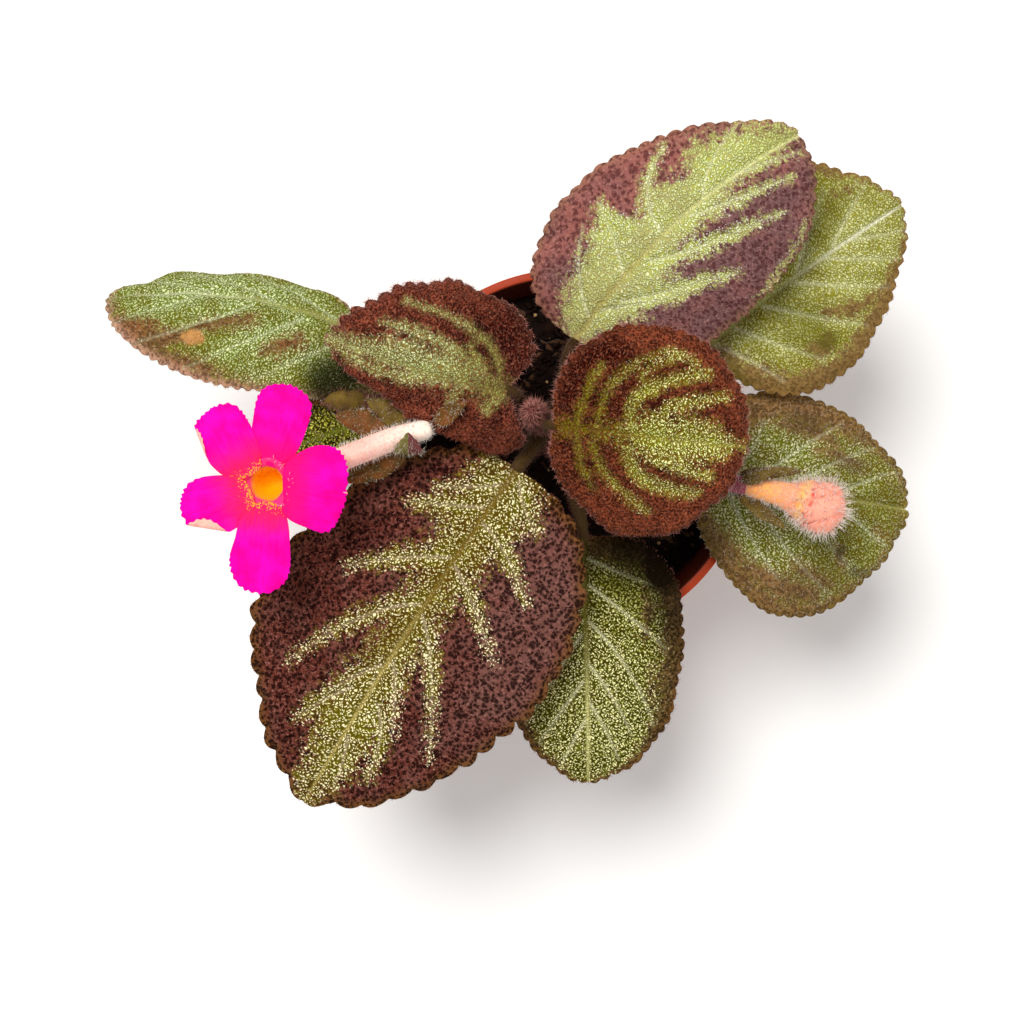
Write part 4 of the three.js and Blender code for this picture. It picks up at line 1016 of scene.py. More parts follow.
for name, (height, azimuth, radius) in petioles.items():
    leaf = leaves[name]
    pitch = math.radians(leaf["pitch"])
    ahead = math.cos(pitch) * levelWay(leaf["azimuth"]) + [0, 0, math.sin(pitch)]
    start = leaveStem(height, azimuth, 0.9)
    end = np.array(leaf["base"], float) + 0.5 * ahead - [0, 0, 0.5]
    reach = np.linalg.norm(end - start) / 3
    first = start + reach * levelWay(azimuth) + [0, 0, 0.2 * reach]
    second = end - reach * ahead
    t = np.linspace(0, 1, 9)[:, None]  # along a cubic Bezier curve
    route = (1 - t)**3 * start + 3 * t * (1 - t)**2 * first + 3 * t**2 * (1 - t) * second + t**3 * end
    radii = [1.25 * radius, radius, 0.95 * radius, 0.85 * radius]
    # the petiole hairs are darkened too, as painted shade
    hair = (int(60 + 50 * reach), 1.3, 0.06, hairShadedBrown)
    stalk("petiole_skin_" + name, route, radii, 20, int(12 + 3 * reach), petioleShadedSkin, "petiole",
          "petiole_" + name, 200 + int(height), 0.06, hair)
print("stem ready")


def petalSkin(name, look):
    # Thin velvet petal: small domed cells that soak up light, so the colour is deep and has no gloss,
    # with fine darker veins that fan from the throat and orange freckles in the mouth.
    material, tree, shader = newMaterial(name, {
        "Roughness": 0.75, "IOR": 1.38, "Specular IOR Level": 0.06, "Sheen Weight": 0.05,
        "Sheen Roughness": 0.4, "Sheen Tint": "#ff80d8", "Subsurface Weight": 0.15,
        "Subsurface Scale": 0.001, "Subsurface Radius": (1.0, 0.2, 0.5),
    })
    flat = addNode(tree, "UVMap", {"uv_map": "flat"})
    along = addNode(tree, "SeparateXYZ", {0: flat}).outputs[0]
    stretch = addNode(tree, "Mapping", {"Scale": (14, 190, 1), "Vector": flat})
    streaks = addNode(tree, "TexNoise", {"Scale": 1.0, "Detail": 2, "Roughness": 0.6, "Vector": stretch})
    place = addNode(tree, "TexCoord", {}).outputs["Object"]
    clouds = addNode(tree, "TexNoise", {"Scale": 260, "Detail": 2, "Vector": place})
    jitter = addNode(tree, "Math", {"operation": "MULTIPLY_ADD", 0: streaks, 1: 0.05, 2: along})
    nearThroat = addNode(tree, "MapRange", {"interpolation_type": "SMOOTHSTEP", "From Min": 0.035,
                                            "From Max": 0.12, "To Min": 1.0, "To Max": 0.0, "Value": jitter})
    tone = addNode(tree, "MapRange", {"From Min": 0.35, "From Max": 0.65, "Value": clouds})
    veins = addNode(tree, "MapRange", {"From Min": 0.52, "From Max": 0.72, "To Max": 0.45, "Value": streaks})
    freckles = addNode(tree, "TexNoise", {"Scale": 3000, "Detail": 1, "Vector": place})
    mouth = addNode(tree, "MapRange", {"From Min": 0.0, "From Max": 0.045, "To Min": 0.16, "To Max": -0.3,
                                       "Value": along})
    freckle = addNode(tree, "Math", {"operation": "ADD", 0: mouth, 1: freckles})
    freckle = addNode(tree, "MapRange", {"From Min": 0.6, "From Max": 0.66, "To Max": look["freckle"],
                                         "Value": freckle})
    tint = addNode(tree, "Mix", {"data_type": "RGBA", 0: tone, 6: look["deep"], 7: look["bright"]})
    for mask, colour in ((nearThroat, "throat"), (veins, "vein"), (freckle, "freckleTint")):
        tint = addNode(tree, "Mix", {"data_type": "RGBA", 0: mask, 6: tint, 7: look[colour]})
    bump = addNode(tree, "Bump", {"Strength": 0.5, "Distance": 0.00025, "Height": streaks})
    fillNode(shader, {"Base Color": tint, "Normal": bump})
    return material


petalTop = petalSkin("petal_velvet", {"deep": "#f0008c", "bright": "#fa04ac", "throat": "#f61070",
                                      "vein": "#e8006e", "freckle": 0, "freckleTint": "#ffa030"})
petalFreckled = petalSkin("petal_velvet_freckled",
                          {"deep": "#f00090", "bright": "#fa04b0", "throat": "#fa2058", "vein": "#e80070",
                           "freckle": 1, "freckleTint": "#ffa030"})
petalUnder = softSkin("petal_back", {"dark": "#f08a80", "light": "#ffb0a0", "fleck": "#ffc8b0", "patch": 300,
                                     "roughness": 0.7})

throat = np.array([-63.2, -7.6, 117.5])
petalForm = {
    "pitch": 22, "droop": 40, "cup": 16, "eggLeft": 0.24, "eggRight": 0.24, "fullLeft": -0.14,
    "fullRight": -0.14, "notch": 1.6, "notchWidth": 0.6, "thick": 0.25, "toothPitch": 1.5,
    "toothSpan": 84, "toothDepth": 0.5, "toothSharp": 1.1, "toothStray": 1.5, "pebble": 0.6,
    "pebbleRise": 0.03, "quilt": 0.25, "ribDepth": 0.15, "wave": 0.35, "waveLength": 9, "underRib": 0,
}
petals = {  # seat angle and distance from the throat, rise, then the petal's own form
    "top_right": (78, 3.7, -0.2, {"azimuth": 76, "length": 19.3, "left": 6.5, "right": 6.5, "seed": 5}),
    "top_left": (150, 3.6, 0.1, {"azimuth": 120, "length": 17.9, "left": 7.2, "right": 5.9, "seed": 6,
                                 "fold": (9, 5.4, 82, 0.28)}),
    "left": (212, 3.6, -0.2, {"azimuth": 199, "length": 16.7, "left": 7.2, "right": 7, "seed": 7,
                              "fold": (10.8, 3.6, 62, 0.4)}),
    "bottom": (275, 3.8, 0, {"azimuth": 265, "length": 20.8, "left": 6.6, "right": 7.2, "seed": 8}),
    "right": (0, 3.5, 0.8, {"azimuth": -8, "length": 15.4, "left": 10.1, "right": 9.8, "seed": 9,
                            "wave": 0.6}),
}
for name, (seatAngle, seat, rise, more) in petals.items():
    length = more["length"]
    ribs = [((2, s), (0.5 * length, 2.2 * s), (0.9 * length, 2.6 * s)) for s in (-1.6, -0.8, 0.8, 1.6)]
    form = {**petalForm, **more, "ribs": ribs, "base": throat + seat * levelWay(seatAngle) + [0, 0, rise]}
    surface = bladeSurface(form, 0.22)
    topSkin = petalTop if name in ("top_right", "right") else petalFreckled
    bladePiece("petal_velvet_" + name, surface, [topSkin, petalUnder], "petal_" + name)


def tubeSkin(name, look):
    # Fleshy translucent corolla: pale where it is thick and full of water, with colour drawn out towards
    # one end. Its masks give the share along it, the underside, the inside, the dots, a patch and the lip.
    material, tree, shader = newMaterial(name, {
        "Roughness": 0.5, "IOR": 1.38, "Specular IOR Level": 0.2, "Sheen Weight": 0.1, "Sheen Roughness": 0.4,
        "Sheen Tint": "#ffe8e0", "Subsurface Weight": 0.3, "Subsurface Scale": 0.002,
        "Subsurface Radius": (1.0, 0.5, 0.3),
    })
    pattern, patches = [addNode(tree, "Attribute", {"attribute_name": key}) for key in ("pattern", "patches")]
    shareMask, lowMask, insideMask = addNode(tree, "SeparateColor", {0: pattern}).outputs
    dotMask, patchMask, lipMask = addNode(tree, "SeparateColor", {0: patches}).outputs
    place = addNode(tree, "TexCoord", {}).outputs["Object"]
    clouds = addNode(tree, "TexNoise", {"Scale": 350, "Detail": 3, "Vector": place})
    dots = addNode(tree, "TexVoronoi", {"Scale": look["dotScale"], "Vector": place})
    jitter = addNode(tree, "Math", {"operation": "MULTIPLY_ADD", 0: clouds, 1: 0.16, 2: shareMask})
    along = addNode(tree, "MapRange", {"interpolation_type": "SMOOTHSTEP", "From Min": look["from"],
                                       "From Max": look["to"], "Value": jitter})
    # the underside takes the deeper low colour: partly the flower's own salmon, partly painted shade
    low = addNode(tree, "Math", {"operation": "MULTIPLY_ADD", 0: clouds, 1: 0.5, 2: -0.25})
    low = addNode(tree, "Math", {"operation": "ADD", "use_clamp": True, 0: low, 1: lowMask})
    near = addNode(tree, "MapRange", {"From Min": 0.15, "From Max": 0.42, "To Min": 1.0, "To Max": 0.0,
                                      "Value": dots})
    near = addNode(tree, "Math", {"operation": "MULTIPLY", 0: near, 1: dotMask})
    tint = addNode(tree, "Mix", {"data_type": "RGBA", 0: along, 6: look["foot"], 7: look["head"]})
    for mask, colour in ((low, "low"), (insideMask, "inside"), (lipMask, "lip"), (near, "dot"),
                         (patchMask, "patch")):
        tint = addNode(tree, "Mix", {"data_type": "RGBA", 0: mask, 6: tint, 7: look[colour]})
    bump = addNode(tree, "Bump", {"Strength": 0.3, "Distance": 0.0002, "Height": clouds})
    fillNode(shader, {"Base Color": tint, "Normal": bump})
    return material


def ringMasks(shape, channels, poles):
    # Three masks over rings of points, and their values on the two poles.
    rings = np.stack([np.broadcast_to(channel, shape).ravel() for channel in channels], 1)
    return np.concatenate([rings, poles])


flowerTube = {
    "points": [(-29.5, 4.5, 109.5), (-36, 2.5, 109.6), (-49, -2.5, 110.2), (-57.6, -5.7, 111),
               (-62.3, -7.3, 114), (-63.2, -7.6, 117.5)],
    "outer": [2.1, 2.2, 2.5, 2.5, 2.5, 2.5, 2.6, 2.9, 3.3, 3.8, 4.35],
    "inner": [3.95, 3.3, 2.8, 2.3, 1.8, 1.2, 0.5],
    "foot": [0.8, 1.4, 1.8, 2.0], "lip": [4.5, 4.9, 5.4, 5.2], "depth": 0.28, "sides": 48,
}
outerShares = np.concatenate([[0, 0.004, 0.015], np.linspace(0.03, 1, 70)])
innerShares = np.linspace(1, 1 - flowerTube["depth"], 26)
outerRadii = np.interp(outerShares, np.linspace(0, 1, len(flowerTube["outer"])), flowerTube["outer"])
innerRadii = np.interp(np.linspace(0, 1, 26), np.linspace(0, 1, len(flowerTube["inner"])),
                       flowerTube["inner"])
outerRadii[:4] = flowerTube["foot"]
outerRadii[-3:] = flowerTube["lip"][:3]
innerRadii[0] = flowerTube["lip"][3]
tubeShares = np.concatenate([outerShares, innerShares])[:, None]
tubeRadii = np.concatenate([outerRadii, innerRadii])[:, None]
tubeInside = (np.arange(len(tubeShares)) > len(outerShares))[:, None]
tubeTurn = turnsOf(flowerTube["sides"])[None]
ridges = (1 + 0.025 * np.cos(5 * tubeTurn)
          + 0.05 * lumpsOn(tubeShares[:, 0], flowerTube["sides"], 12, 1.2, 3, 3))
tubePoints, tubeFaces = rodShape(flowerTube["points"], tubeShares[:, 0], tubeRadii * ridges)
# the underside of the tube, painted deeper: partly its own salmon, partly painted shade
tubeLow = 0.75 * np.clip(-np.sin(tubeTurn), 0, 1) * ~tubeInside
tubeDots = 0.8 * np.clip(-np.cos(tubeTurn), 0, 1) * tubeInside
tubeLip = np.exp(-(np.maximum(1 - tubeShares - 0.01, 0) / 0.022)**2)
flowerSkin = tubeSkin("corolla_tube", {
    "foot": "#fbe4d4", "head": "#f6baac", "from": 0.1, "to": 0.5, "low": "#e08864", "inside": "#ffae00",
    "dot": "#e83818", "patch": "#ffb000", "lip": "#f0307c", "dotScale": 1300})
tubePiece = makePiece("corolla_tube", tubePoints, tubeFaces, [flowerSkin], ["flower_tube"], {
    "pattern": ringMasks(ridges.shape, [tubeShares, tubeLow, tubeInside], [(0, 0, 0), (1, 0, 1)]),
    "patches": ringMasks(ridges.shape, [tubeDots, 0, tubeLip], [(0, 0, 0), (0, 0, 0)])})
outside = np.append(np.repeat(~tubeInside, flowerTube["sides"]), [False, False])
fuzzOnPiece("hairs_corolla_tube", tubePiece, tubePoints, 1700, 1.4, 0.055, hairWhite, "flower_tube", 15,
            keep=outside)

sepalSkin = softSkin("sepal_olive", {"dark": "#3c2c0c", "light": "#6c5c1c", "fleck": "#74582c", "patch": 320})
sepalRust = softSkin("sepal_rust", {"dark": "#3c2410", "light": "#783c1c", "fleck": "#6c5820", "patch": 320})
flowerStalk = [leaveStem(96, 186, 0.8), (-18, 6.2, 98), (-28, 5.2, 99), (-33, 4, 102), (-34, 3.3, 106.9)]
stalk("flower_stalk_skin", flowerStalk, [1.2, 1.0, 0.95, 0.95, 1.1, 2.1], 20, 50, stemSkin, "petiole",
      "flower_stalk", 311, 0.08, (800, 1.3, 0.06, hairPink))
sepalTwoTone = softSkin("sepal_two_tone", {"dark": "#545020", "light": "#746c34", "fleck": "#8a8048",
                                           "patch": 260, "half": "#6e2c3c"})
sepalForm = {
    "thick": 0.45, "toothPitch": 1.6, "toothDepth": 0.25, "toothSharp": 1.0, "pebble": 0.7,
    "pebbleRise": 0.06, "quilt": 0.15, "ribDepth": 0.15, "wave": 0.25, "waveLength": 7, "underRib": 0.2,
    "cup": 40, "droop": 40, "eggLeft": -0.25, "eggRight": -0.25,
    "trim": [(0, 0.5), (25, -0.2), (90, 0), (270, 0), (335, -0.2)],
}
calyx = np.array([-34, 3.3, 106.5])
flowerSepals = {  # seat angle, distance and height from the calyx, the form, the half width and the skin
    "back": (20, 5.4, 5.2, {"azimuth": 31, "pitch": 36, "droop": 20, "cup": 20, "length": 9}, 1.9, sepalRust),
    "upper": (118, 2.1, 0, {"azimuth": 146, "pitch": 24, "length": 10}, 2.6, sepalSkin),
    "inner": (168, 2.1, 0, {"azimuth": 166, "pitch": 2, "droop": 20, "length": 14.5}, 3.3, sepalRust),
    "lower": (236, 2.1, 0, {"azimuth": 214, "pitch": 6, "droop": 24, "length": 15}, 4.1, sepalRust),
    "front": (268, 3.9, 0, {"azimuth": 88, "pitch": 114, "droop": 88, "cup": 16, "length": 11}, 3.1,
              sepalTwoTone),
}
budCalyx = np.array([38.2, -7.5, 93])
budSepals = {
    "upper": (24, 2.9, {"azimuth": 3, "pitch": 20, "length": 13.5}, 1.5),
    "back": (75, 2.8, {"azimuth": 18, "pitch": 38, "length": 9}, 1.4),
    "lower": (168, 2.9, {"azimuth": -34, "pitch": 8, "length": 12.7}, 1.7),
    "outer": (232, 2.8, {"azimuth": -30, "pitch": -22, "length": 9}, 1.5),
    "under": (288, 2.8, {"azimuth": -8, "pitch": -26, "length": 12}, 1.7),
}


def sepal(name, node, base, more, half, skin, seed, hair):
    # A narrow hairy leaf of the calyx, widest a third of the way up and pointed at its tip.
    form = {**sepalForm, "base": base, "left": half, "right": half, "seed": seed, **more}
    length = form["length"]
    form["ribs"] = [((0.1 * length, 0.4 * s), (0.5 * length, 0.5 * half * s), (0.9 * length, 0.2 * half * s))
                    for s in (-1, 1)]
    surface = bladeSurface(form, 0.25)
    piece = bladePiece(name, surface, [skin, skin], node)
    fuzzOnPiece("hairs_" + name, piece, surface["points"], int(14 * length), 1.2, 0.05, hair, "sepal",
                seed + 1)


for seed, (name, (seatAngle, out, lift, more, half, skin)) in enumerate(flowerSepals.items()):
    base = calyx + out * levelWay(seatAngle) + [0, 0, lift - 0.6]
    sepal("calyx_" + name, "sepal_" + name, base, more, half, skin, 400 + 3 * seed, hairPale)
print("flower ready")


budStalk = [leaveStem(98, -20, 0.8), (10, -1.4, 96.5), (25, -4.8, 94), (35, -6.9, 93), (38.8, -7.6, 93)]
stalk("bud_stalk_skin", budStalk, [1.3, 1.1, 1.1, 1.1, 1.3, 2.3], 22, 60, budStalkSkin, "stem", "bud_stalk",
      331, 0.08, (1200, 1.6, 0.06, hairWhite))

bud = {
    "points": [(38.6, -7.6, 93), (44, -8.8, 93.4), (50.5, -10.8, 94.8), (56, -12.7, 96.2),
               (59.8, -13.9, 96.8)],
    "radii": [1.9, 2.4, 2.5, 2.6, 2.9, 3.7, 4.8, 5.4, 5.5, 5.0, 3.6], "lobes": 5, "twist": 0.55, "sides": 72,
}
budShares = np.concatenate([np.linspace(0, 0.97, 80), [0.985, 0.995, 1.0]])[:, None]
budRadii = np.interp(budShares, np.linspace(0, 1, len(bud["radii"])), bud["radii"])
budRadii *= np.sqrt(1 - 0.98 * np.clip((budShares - 0.86) / 0.14, 0, 1)**2)  # its end closes in a dome
budTurn = turnsOf(bud["sides"])[None]
swirl = bud["lobes"] * (budTurn / (2 * np.pi) + bud["twist"] * budShares)
seam = np.abs(swirl - np.floor(swirl) - 0.5) * 2  # 1 on a seam between two folded lobes
onHead = smoothStep(0.45, 0.62, budShares)
lumps = lumpsOn(budShares[:, 0], bud["sides"], 9, 1.3, 4, 9)
budShape = budRadii * (1 - 0.09 * onHead * smoothStep(0.8, 1, seam) + 0.04 * onHead * (1 - seam)
                       + 0.05 * lumps)
budPoints, budFaces = rodShape(bud["points"], budShares[:, 0], budShape)
topSide = np.sin(budTurn)
# deeper colour on the bud's underside, partly its own salmon and partly painted shade, and in the seams
# between its lobes, painted shade in the creases
budLow = 0.35 * onHead * smoothStep(0.62, 0.9, seam) + 0.25 * np.clip(-topSide, 0, 1)
budDots = np.exp(-((budShares - 0.64) / 0.075)**2) * smoothStep(-0.5, 0.4, topSide - 0.2 * np.cos(budTurn))
budPatch = 0.6 * np.exp(-((budShares - 0.58) / 0.05)**2) * smoothStep(-0.2, 0.7, topSide)
budSkin = tubeSkin("bud_corolla_skin", {
    "foot": "#fcaa60", "head": "#f8a48c", "from": 0.25, "to": 0.75, "low": "#ec7862", "inside": "#ff9a00",
    "dot": "#c81810", "patch": "#ffc860", "lip": "#f0307c", "dotScale": 600})
budPiece = makePiece("bud_corolla_skin", budPoints, budFaces, [budSkin], ["bud_corolla"], {
    "pattern": ringMasks(budShape.shape, [budShares, budLow, 0], [(0, 0, 0), (1, 0, 0)]),
    "patches": ringMasks(budShape.shape, [budDots, budPatch, 0], [(0, 0, 0), (0, 0, 0)])})
head = np.append(np.repeat(budShares > 0.5, bud["sides"]), [True, True])
fuzzOnPiece("hairs_bud_head", budPiece, budPoints, 700, 2.9, 0.07, hairWhite, "bud", 17, keep=head, curl=True)
fuzzOnPiece("hairs_bud_tube", budPiece, budPoints, 700, 1.6, 0.055, hairWhite, "bud", 18, keep=~head)
for seed, (name, (seatAngle, reach, more, half)) in enumerate(budSepals.items()):
    angle = math.radians(seatAngle)
    base = budCalyx + (reach - 0.35) * np.array([-0.3, math.cos(angle), math.sin(angle)])
    sepal("bud_calyx_" + name, "bud_sepal_" + name, base, more, half, sepalSkin, 440 + 3 * seed, hairPale)

youngStalk = [leaveStem(90, 172, 0.8), (-20, 9.5, 92), (-34, 10.6, 92.5), (-44.9, 11, 92)]
stalk("young_bud_stalk_skin", youngStalk, [1.0, 0.9, 1.2, 1.6], 16, 50, stemSkin, "petiole",
      "young_bud_stalk", 351, 0.08, (600, 1.2, 0.055, hairPink))
stalk("young_bud_skin", [(-44.6, 11, 92), (-49, 11.2, 92.3), (-54, 11.2, 92)],
      [1.6, 2.3, 2.5, 2.3, 1.7, 0.7], 28, 30, sepalSkin, "sepal", "young_bud", 361, 0.2,
      (350, 1.4, 0.055, hairPink))
sepal("bract_skin", "bract", np.array([-54.7, 11.1, 91.1]), {"azimuth": 158, "pitch": 10, "length": 7}, 1.8,
      sepalRust, 470, hairPink)
print("buds ready")


pot = {"height": 72, "rim": 42.5, "band": 9, "wall": 1.4, "step": 1.3, "foot": 29, "pad": 10, "channel": 22,
       "channelDepth": 1.6, "holes": 6, "holeRadius": 3, "holeCircle": 16, "sides": 180,
       "orange": "#a03004", "paler": "#ac3808", "footTone": "#7a3a20", "peat": "#24100a"}
bandFoot = pot["height"] - pot["band"]
slope = (pot["rim"] - pot["step"] - 0.6 - pot["foot"]) / bandFoot


def turnedShape(profile, sides):
    # A profile of radius and height turned about the upright axis. It starts and ends on the axis.
    profile = np.array(profile, float)
    turn, radius = turnsOf(sides), profile[1:-1, 0, None]
    rings = np.stack([radius * np.cos(turn), radius * np.sin(turn), profile[1:-1, 1, None] + 0 * turn], -1)
    poles = [(0, 0, profile[0, 1]), (0, 0, profile[-1, 1])]
    return np.concatenate([rings.reshape(-1, 3), poles]), closedRings(len(radius), sides)


def roundedCorner(at, radius, fromAngle, toAngle, count=5):
    angles = np.radians(np.linspace(fromAngle, toAngle, count))
    return [(at[0] + radius * math.cos(a), at[1] + radius * math.sin(a)) for a in angles]


def wallAt(height):
    return pot["foot"] + slope * height


top, rim, foot, wall, pad, channel = [pot[key] for key in ("height", "rim", "foot", "wall", "pad", "channel")]
ceiling, floorTop = pot["channelDepth"], pot["channelDepth"] + wall
potProfile = (
    [(0, 0), (pad - 0.3, 0)] + roundedCorner((pad - 0.1, 0.4), 0.4, -90, 0, 4)
    + [(pad + 0.8, ceiling), (channel - 0.8, ceiling), (channel, 0.35)]
    + roundedCorner((channel + 0.5, 0.4), 0.4, 190, 270, 4)
    + [(foot - 1.6, 0)] + roundedCorner((foot - 0.8, 0.8), 0.8, -90, 0)
    + [(wallAt(h), h) for h in (4, 12, 22, 32, 42, 52, 60, bandFoot - 0.2)]
    + roundedCorner((rim - 0.6, bandFoot + 0.7), 0.6, -90, 0, 4)
    + [(rim, h) for h in (bandFoot + 1.5, bandFoot + 4, top - 2.6)]
    + [(rim + 0.25, top - 2.2), (rim + 0.25, top - 0.6)] + roundedCorner((rim - 0.25, top - 0.5), 0.5, 0, 90)
    + [(rim - 1.0, top)] + roundedCorner((rim - 1.4, top - 0.5), 0.5, 90, 180)
    + [(wallAt(bandFoot) - wall + 0.4, bandFoot), (wallAt(bandFoot) - wall, bandFoot - 1)]
    + [(wallAt(h) - wall, h) for h in (50, 30, 10, floorTop + 1)]
    + [(wallAt(3) - wall - 1, floorTop), (8, floorTop), (0, floorTop)])
potPoints, potFaces = turnedShape(potProfile, pot["sides"])


def potPlastic():
    # Injection moulded polypropylene nursery pot: even orange red, slightly waxy, with faint flow marks
    # round it and fine scuffs that dull the gloss. It turns darker and browner towards its foot, and its
    # inside from the soil's height up is painted near black, partly peat stain and partly painted shade
    # inside the pot. Heights and radii here are in metres.
    material, tree, shader = newMaterial("moulded_polypropylene", {"IOR": 1.49, "Specular IOR Level": 0.2})
    place = addNode(tree, "TexCoord", {}).outputs["Object"]
    clouds = addNode(tree, "TexNoise", {"Scale": 60, "Detail": 4, "Vector": place})
    flow = addNode(tree, "Mapping", {"Scale": (30, 30, 500), "Vector": place})
    marks = addNode(tree, "TexNoise", {"Scale": 1.0, "Detail": 3, "Vector": flow})
    scuffs = addNode(tree, "TexNoise", {"Scale": 900, "Detail": 3, "Roughness": 0.7, "Vector": place})
    tone = addNode(tree, "MapRange", {"From Min": 0.3, "From Max": 0.7, "Value": clouds})
    height = addNode(tree, "SeparateXYZ", {0: place}).outputs[2]
    # darker and browner towards the foot
    footTone = addNode(tree, "MapRange", {"From Min": 0.0, "From Max": 0.012, "To Min": 0.35, "To Max": 0.0,
                                      "Value": height})
    # the inside from the soil's height up: near black, partly peat stain and partly painted shade
    level = addNode(tree, "VectorMath", {"operation": "MULTIPLY", 0: place, 1: (1, 1, 0)})
    radius = addNode(tree, "VectorMath", {"operation": "LENGTH", 0: level})
    band = addNode(tree, "MapRange", {"From Min": 0.0628, "From Max": 0.0632, "To Min": 0.0, "To Max": 0.001,
                                      "Value": height})
    radius = addNode(tree, "Math", {"operation": "SUBTRACT", 0: radius, 1: band})
    within = addNode(tree, "MapRange", {"From Min": 0.0402, "From Max": 0.0398, "To Max": 0.85,
                                        "Value": radius})
    high = addNode(tree, "MapRange", {"From Min": 0.0598, "From Max": 0.0602, "Value": height})
    peatAndShadeMark = addNode(tree, "Math", {"operation": "MULTIPLY", 0: within, 1: high})
    tint = addNode(tree, "Mix", {"data_type": "RGBA", 0: tone, 6: pot["orange"], 7: pot["paler"]})
    for mask, colour in ((footTone, "footTone"), (peatAndShadeMark, "peat")):
        tint = addNode(tree, "Mix", {"data_type": "RGBA", 0: mask, 6: tint, 7: pot[colour]})
    gloss = addNode(tree, "MapRange", {"From Min": 0.3, "From Max": 0.7, "To Min": 0.42, "To Max": 0.6,
                                       "Value": scuffs})
    bump = addNode(tree, "Bump", {"Strength": 0.25, "Distance": 0.0003, "Height": marks})
    fillNode(shader, {"Base Color": tint, "Roughness": gloss, "Normal": bump})
    return material


potPiece = makePiece("pot_shell", potPoints, potFaces, [potPlastic()], ["pot"])
drill, drillFaces = turnedShape([(0, -1), (pot["holeRadius"], -1), (pot["holeRadius"], 5), (0, 5)], 48)
drillPlaces = pot["holeCircle"] * np.stack([levelWay(360 * k / pot["holes"]) for k in range(pot["holes"])])
drillMesh = bpy.data.meshes.new("drills")
drillMesh.from_pydata((drillPlaces[:, None] + drill).reshape(-1, 3) * mm, [], [
    face for few in drillFaces for face in repeatFaces(few, pot["holes"], len(drill)).tolist()])
drillObject = bpy.data.objects.new("drills", drillMesh)
bpy.context.scene.collection.objects.link(drillObject)
cutter = potPiece.modifiers.new("holes", "BOOLEAN")
cutter.operation, cutter.object, cutter.solver = "DIFFERENCE", drillObject, "EXACT"
bpy.context.view_layer.update()
cutMesh = bpy.data.meshes.new_from_object(potPiece.evaluated_get(bpy.context.evaluated_depsgraph_get()))
potPiece.modifiers.clear()
potPiece.data = cutMesh
bpy.data.objects.remove(drillObject)
print("pot ready")


def soilMix():
    # Damp peat and composted bark: almost black, matt, with the odd tan fibre.
    material, tree, shader = newMaterial("potting_mix", {"IOR": 1.4, "Specular IOR Level": 0.12})
    place = addNode(tree, "TexCoord", {}).outputs["Object"]
    clumps = addNode(tree, "TexNoise", {"Scale": 260, "Detail": 5, "Roughness": 0.7, "Vector": place})
    grit = addNode(tree, "TexVoronoi", {"Scale": 900, "Vector": place})
    tone = addNode(tree, "MapRange", {"From Min": 0.35, "From Max": 0.7, "Value": clumps})
    tint = addNode(tree, "Mix", {"data_type": "RGBA", 0: tone, 6: "#080302", 7: "#20110a"})
    fibre = addNode(tree, "MapRange", {"From Min": 0.93, "From Max": 0.97, "Value": grit.outputs["Color"]})
    tint = addNode(tree, "Mix", {"data_type": "RGBA", 0: fibre, 6: tint, 7: "#6a4a2c"})
    gloss = addNode(tree, "MapRange", {"To Min": 0.65, "To Max": 0.95, "Value": clumps})
    bump = addNode(tree, "Bump", {"Strength": 0.9, "Distance": 0.0006, "Height": clumps})
    fillNode(shader, {"Base Color": tint, "Roughness": gloss, "Normal": bump})
    return material


soil = {"top": 62.5, "crown": 0.8, "radius": 38.6, "foot": 3.3, "footRadius": 27.8, "grainSpread": 37,
        "steps": 180}
ring, angle = discGrid(soil["steps"], soil["steps"])
sx, sy = soil["radius"] * ring * np.cos(angle), soil["radius"] * ring * np.sin(angle)
lift = (soil["top"] - 0.5 + soil["crown"] * (1 - ring**2) + 1.2 * (cloudAt(sx, sy, 11, 33) - 0.5)
        - 1.5 * ring**6)
for pitch, seed, rise in ((4.2, 31, 1.5), (1.6, 32, 0.6)):  # clods, then crumbs
    grain, tone = cellsAt(sx, sy, pitch, seed)
    lift += rise * np.clip(1 - (grain / 0.7)**2, 0, 1) * tone
lift += 0.5 * np.exp(-((np.hypot(sx, sy) - stem["footRadius"]) / 2)**2)  # heaped against the stem
topSoil = np.stack([sx, sy, lift], 1)
ring, angle = discGrid(soil["steps"] // 2, soil["steps"] // 2)
lowSoil = np.stack([soil["footRadius"] * ring * np.cos(angle), soil["footRadius"] * ring * np.sin(angle),
                    soil["foot"] + 0.3 * scatter(np.arange(len(ring)), 0, 4)], 1)
soilFaces, _ = closeShell(len(topSoil), soil["steps"], soil["steps"])
peat = soilMix()
makePiece("potting_soil", np.concatenate([topSoil, lowSoil]), soilFaces, [peat], ["soil"])


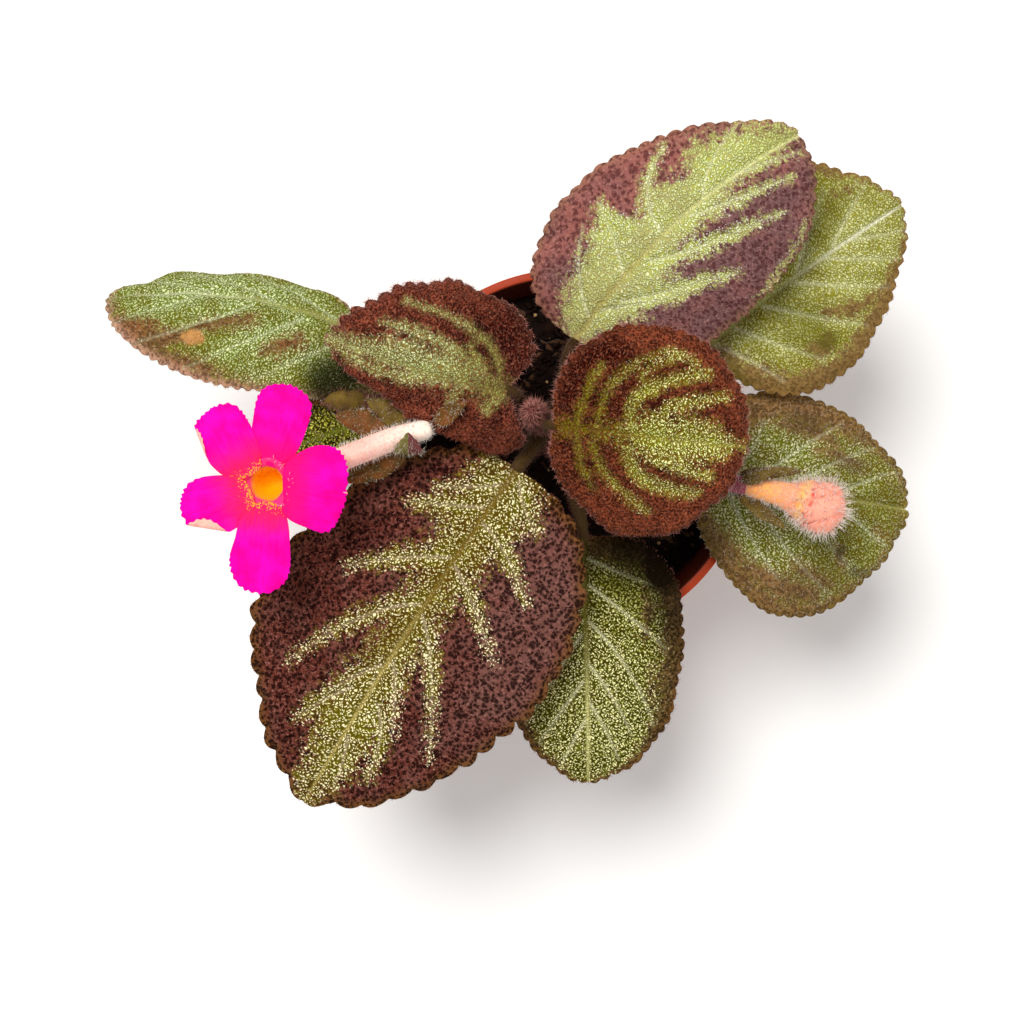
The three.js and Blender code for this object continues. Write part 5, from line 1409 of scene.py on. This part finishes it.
def scatterGrains(name, count, sizes, material, seed, squash):
    # Loose grains on the soil: an eight-sided stone each, stretched, turned and half sunk.
    rng = np.random.default_rng(seed)
    corner = np.array([(1, 0, 0), (0, 1, 0), (-1, 0, 0), (0, -1, 0), (0, 0, 1), (0, 0, -1)], float)
    faces = [(0, 1, 4), (1, 2, 4), (2, 3, 4), (3, 0, 4), (1, 0, 5), (2, 1, 5), (3, 2, 5), (0, 3, 5)]
    radius = soil["grainSpread"] * np.sqrt(rng.uniform(0.012, 1, count))
    turn = rng.uniform(0, 2 * np.pi, count)
    x, y = radius * np.cos(turn), radius * np.sin(turn)
    z = soil["top"] + 0.2 + 0.9 * cloudAt(x, y, 11, 33) - 1.2 * (radius / soil["radius"])**6
    size = (rng.uniform(sizes[0], sizes[1], (count, 1, 1)) * rng.uniform(0.6, 1.3, (count, 1, 3))
            * np.array(squash))
    shape = corner[None] * size * rng.uniform(0.75, 1.2, (count, 6, 1))
    spin = rng.uniform(0, 2 * np.pi, count)
    c, s = np.cos(spin)[:, None], np.sin(spin)[:, None]
    turned = np.stack([shape[..., 0] * c - shape[..., 1] * s, shape[..., 0] * s + shape[..., 1] * c,
                       shape[..., 2]], -1)
    points = turned + np.stack([x, y, z], 1)[:, None]
    makePiece(name, points.reshape(-1, 3), [repeatFaces(faces, count, 6)], [material])


barkChip = softSkin("bark_chip", {"dark": "#24140c", "light": "#4a2e1c", "fleck": "#5c4028",
                                  "roughness": 0.85})
tanGrain = softSkin("tan_grit", {"dark": "#8a6038", "light": "#b8925c", "fleck": "#c8a878", "roughness": 0.8})
scatterGrains("soil_crumbs", 2600, (0.4, 1.1), peat, 81, (1, 1, 0.6))
scatterGrains("bark_chips", 220, (0.6, 1.7), barkChip, 82, (1.5, 0.7, 0.4))
scatterGrains("tan_grains", 150, (0.35, 0.75), tanGrain, 83, (1.2, 0.8, 0.6))
print("soil ready")


studio = {
    "floorSize": 6, "floorColour": "#f4f3f1", "skyPower": 0.5, "aimHeight": 0.09,
    "camera": (-0.0125, -0.0134, 0.492), "lens": 63.9, "sensor": 36,
    "lamps": {"key": {"at": (-0.36, 0.5, 1.55), "size": 0.7, "watts": 24, "colour": (1.0, 0.985, 0.97)},
              "fill": {"at": (0.95, -0.5, 1.1), "size": 1.0, "watts": 4, "colour": (0.95, 0.97, 1.0)}},
}
edge = studio["floorSize"] / 2
floorMesh = bpy.data.meshes.new("floor")
floorMesh.from_pydata([(-edge, -edge, 0), (edge, -edge, 0), (edge, edge, 0), (-edge, edge, 0)], [],
                      [(0, 1, 2, 3)])
floorMesh.materials.append(newMaterial("pale_floor",
                                       {"Base Color": studio["floorColour"], "Roughness": 0.7})[0])
floor = bpy.data.objects.new("floor", floorMesh)
bpy.context.scene.collection.objects.link(floor)

for name, lamp in studio["lamps"].items():
    data = bpy.data.lights.new(name, "AREA")
    data.shape, data.size, data.energy, data.color = "DISK", lamp["size"], lamp["watts"], lamp["colour"]
    light = bpy.data.objects.new(name, data)
    bpy.context.scene.collection.objects.link(light)
    light.location = lamp["at"]
    x, y, z = lamp["at"][0], lamp["at"][1], lamp["at"][2] - studio["aimHeight"]
    light.rotation_euler = (math.atan2(math.hypot(x, y), z), 0, math.atan2(-x, y) + math.pi)
world = bpy.data.worlds.new("studio")
bpy.context.scene.world = world
world.use_nodes = True
world.node_tree.nodes["Background"].inputs["Color"].default_value = (1.0, 1.0, 1.0, 1.0)
world.node_tree.nodes["Background"].inputs["Strength"].default_value = studio["skyPower"]

camera = bpy.data.objects.new("camera", bpy.data.cameras.new("camera"))
bpy.context.scene.collection.objects.link(camera)
camera.location = studio["camera"]
camera.data.lens = studio["lens"]
camera.data.sensor_width = studio["sensor"]
camera.data.clip_start = 0.01
bpy.context.scene.camera = camera
bpy.context.scene.view_settings.view_transform = "Standard"

print("scene ready")
